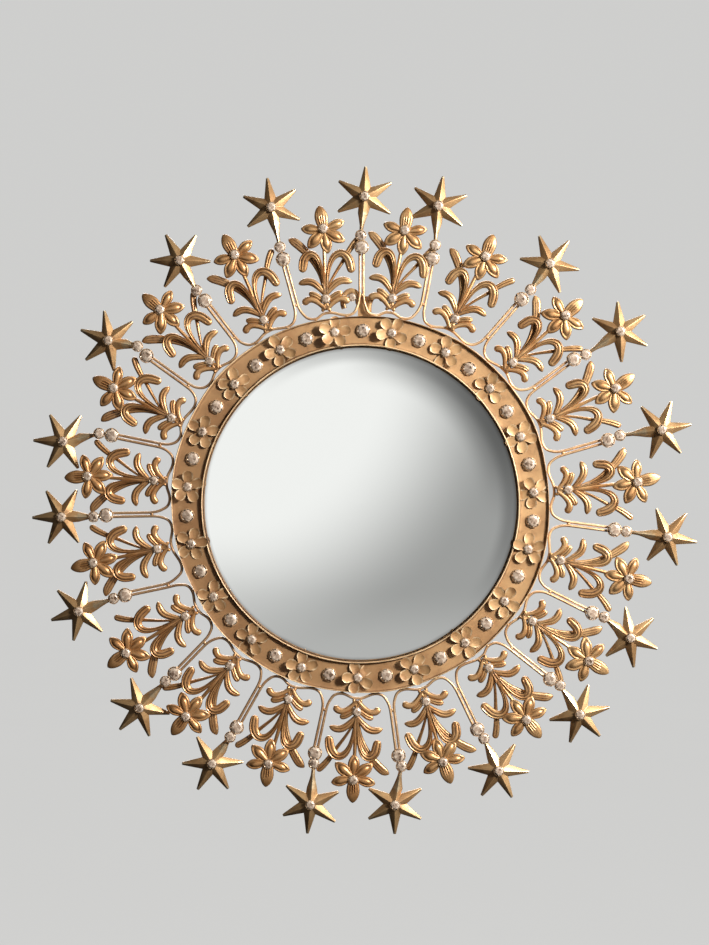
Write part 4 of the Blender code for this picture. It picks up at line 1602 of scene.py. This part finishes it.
@dataclass
class Studio:
    """The floor, lights and camera.

    The window is the bright patch in front of the mirror that it shows at its upper left.
    """

    distance: float = 1.1  # From the camera to the mirror, in metres
    plane: float = 9.0  # Depth on the mirror at which a pixel is as large as scale says, in millimetres
    scale: float = 0.7  # Millimetres of the mirror to one pixel of the picture
    frame: tuple[int, int] = (709, 945)  # Width and height of the picture, in pixels
    centre: Pair = (360.5, 504.0)  # Pixel of the mirror's centre
    backdrop: float = 0.62  # Brightness behind the mirror
    window: Pair = (-105.0, 105.0)  # Middle of the window as seen in the glass, in millimetres
    window_near: float = 119.0  # Where the window begins to fade, in millimetres from its middle
    window_far: float = 220.0  # Where it has faded
    bright: float = 1.01  # Brightness of the window
    dim: float = 0.39  # Brightness in front of the mirror beside the window
    dark: float = 0.035  # Brightness of the rest of the room, as the metal sees it
    walls: float = 0.32  # Brightness of the rest of the room, as the glass shows it
    corner: float = 0.61  # How much darker the room is near the glass's upper right edge
    corner_reach: Pair = (0.74, 0.96)  # Where that begins and is full, as shares of the way to the edge
    rim: float = 0.42  # How much darker still it is at the very edge there
    rim_reach: float = 0.9  # Where that begins
    low: float = 0.12  # How much brighter it is low in the glass
    low_reach: Pair = (0.18, 0.34)  # Where that begins and is full, as tangents
    front: Pair = (0.36, 0.44)  # Where all that the glass shows fades into the rest, as tangents
    duller: float = 0.55  # How much less of the room's light falls on dull surfaces
    warmer: Pair = (0.3, 0.5)  # How much green and blue that light lacks
    glow: float = 0.545  # Brightness of the floor
    floor_height: float = -0.9  # In metres
    floor_half: float = 40.0  # Half the floor's side, in metres

    @property
    def eye(self) -> Vector:
        """Where the camera is.

        Returns:
            Its place in metres.
        """
        aside = self.frame[0] / 2 - self.centre[0]
        above = self.centre[1] - self.frame[1] / 2
        return Vector((aside * self.scale * MM, -self.distance - self.plane * MM, above * self.scale * MM))

    def camera(self) -> None:
        """Places the camera in front of the mirror, a little above its centre."""
        data = bpy.data.cameras.new("camera")
        data.sensor_width = 36.0
        data.lens = self.distance / (self.scale * MM) / max(self.frame) * data.sensor_width
        camera = add_object("camera", data)
        camera.location = self.eye
        camera.rotation_euler = (math.pi / 2, 0, 0)
        bpy.context.scene.camera = camera

    def light(self, name: str, kind: str, power: float, place: Triple, **settings: Any) -> None:
        """Adds a light that faces the mirror.

        Args:
            name: Its name.
            kind: AREA or SUN.
            power: In watts, and for a sun in watts per square metre.
            place: Where it is, in metres.
            **settings: Its other properties.
        """
        data = bpy.data.lights.new(name, kind)
        for key, value in {"energy": power, **settings}.items():
            setattr(data, key, value)
        lamp = add_object(name, data)
        lamp.location = place
        lamp.rotation_euler = (-Vector(place)).to_track_quat("-Z", "Y").to_euler()

    def room(self) -> None:
        """The pale room as the camera sees it, and the window and dim walls that metal and glass see."""
        world = bpy.data.worlds.new("room")
        world.use_nodes = True
        bpy.context.scene.world = world
        net = Net(world.node_tree)
        way = net.add("ShaderNodeSeparateXYZ", {0: net.add("ShaderNodeTexCoord").outputs["Generated"]})
        x, y, z = (Value(net, socket) for socket in way.outputs)
        path = net.add("ShaderNodeLightPath").outputs
        seen, soft, sharp = (Value(net, path[f"Is {kind} Ray"]) for kind in ("Camera", "Diffuse", "Singular"))
        glass = MirrorGlass()
        turn = 1 / (self.distance * 1000) + 2 / glass.sphere
        edge = glass.radius * turn
        # Tangents of the ways that the glass throws back. What divides is kept above 0
        ahead = (0 - y).at_least(0.02)
        across = x / ahead
        up = z / ahead + self.eye.z / self.distance
        from_middle = across.length_with(up)
        from_window = (across - self.window[0] * turn).length_with(up - self.window[1] * turn)
        window = 1 - from_window.between(self.window_near * turn, self.window_far * turn)
        upper_right = (across + up) / from_middle.at_least(0.01)
        begins, full = (edge * share for share in self.corner_reach)
        corner = from_middle.between(begins, full) * upper_right.between(0.8, 1.5) * self.corner
        rim = from_middle.between(edge * self.rim_reach, edge) * upper_right.between(0.0, 0.9) * self.rim
        low = (0 - up).between(*self.low_reach) * self.low
        front = 1 - from_middle.between(*self.front)
        lit = self.dim - self.dark + low + window * (self.bright - self.dim)
        level = self.dark + front * lit * (1 - corner) * (1 - rim)
        # The walls are brighter above
        level = level + sharp * (1 - front) * (self.walls - self.dark) * (1 + z * 0.5)
        whole = level * (1 - soft * self.duller) * (1 - seen) + seen * self.backdrop
        warm, (green, blue) = whole * soft, self.warmer
        channels = {0: whole, 1: whole - warm * green, 2: whole * 0.985 - warm * blue}
        tint = net.add("ShaderNodeCombineColor", channels).outputs[0]
        net.feed(world.node_tree.nodes["Background"].inputs["Color"], tint)

    def floor(self) -> None:
        """A wide pale floor well below the mirror, which the metal doesn't reflect."""
        surface = Surface("pale_floor", (0.8, 0.8, 0.79))
        mottled = surface.mix(surface.noise(400.0, 2), (0.12, 0.12, 0.118), (0.11, 0.11, 0.108))
        light = {"Emission_Color": (1.0, 1.0, 0.985), "Emission_Strength": self.glow}
        finish = surface.finish(Base_Color=mottled, Roughness=1.0, Specular_IOR_Level=0.0, **light)
        mesh = bpy.data.meshes.new("floor")
        half, corners = self.floor_half, ((-1, -1), (1, -1), (1, 1), (-1, 1))
        mesh.from_pydata([(x * half, y * half, self.floor_height) for x, y in corners], [], [(0, 1, 2, 3)])
        mesh.materials.append(finish)
        ground = add_object("floor", mesh)
        ground.visible_glossy = False
        ground.visible_diffuse = False

    def build(self) -> None:
        """Builds all of it."""
        self.camera()
        self.room()
        self.floor()
        self.light("key", "AREA", 29.0, (0.92, -0.85, 0.50), size=0.22, color=(1.0, 0.97, 0.92))
        self.light("side", "AREA", 16.0, (1.30, -0.28, 0.40), size=0.45, color=(1.0, 0.98, 0.95))
        # It falls on the back, for views from behind
        self.light("back_light", "SUN", 3.4, (0.0, 0.8192, 0.5736), angle=math.radians(40))
        bpy.context.scene.view_settings.view_transform = "Standard"


def main() -> None:
    """Builds the mirror and the studio round it."""
    logging.basicConfig(level=logging.INFO, format="%(message)s")
    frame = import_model()
    LOG.info("solids in the frame: %d", len(frame["nodes"]))
    shop = Workshop()
    for assembly in (BackPlate(), MirrorGlass(), TrayFrame(), StemWires(), LilySpray()):
        assembly.build(shop)
    stars = [StarHead(number) for number in range(RAYS)]
    for star in stars:
        star.build(shop)
    ClawSetStones().build("stem", [seat for star in stars for seat in star.seats()], shop)
    Studio().build()


if __name__ == "__main__":
    main()
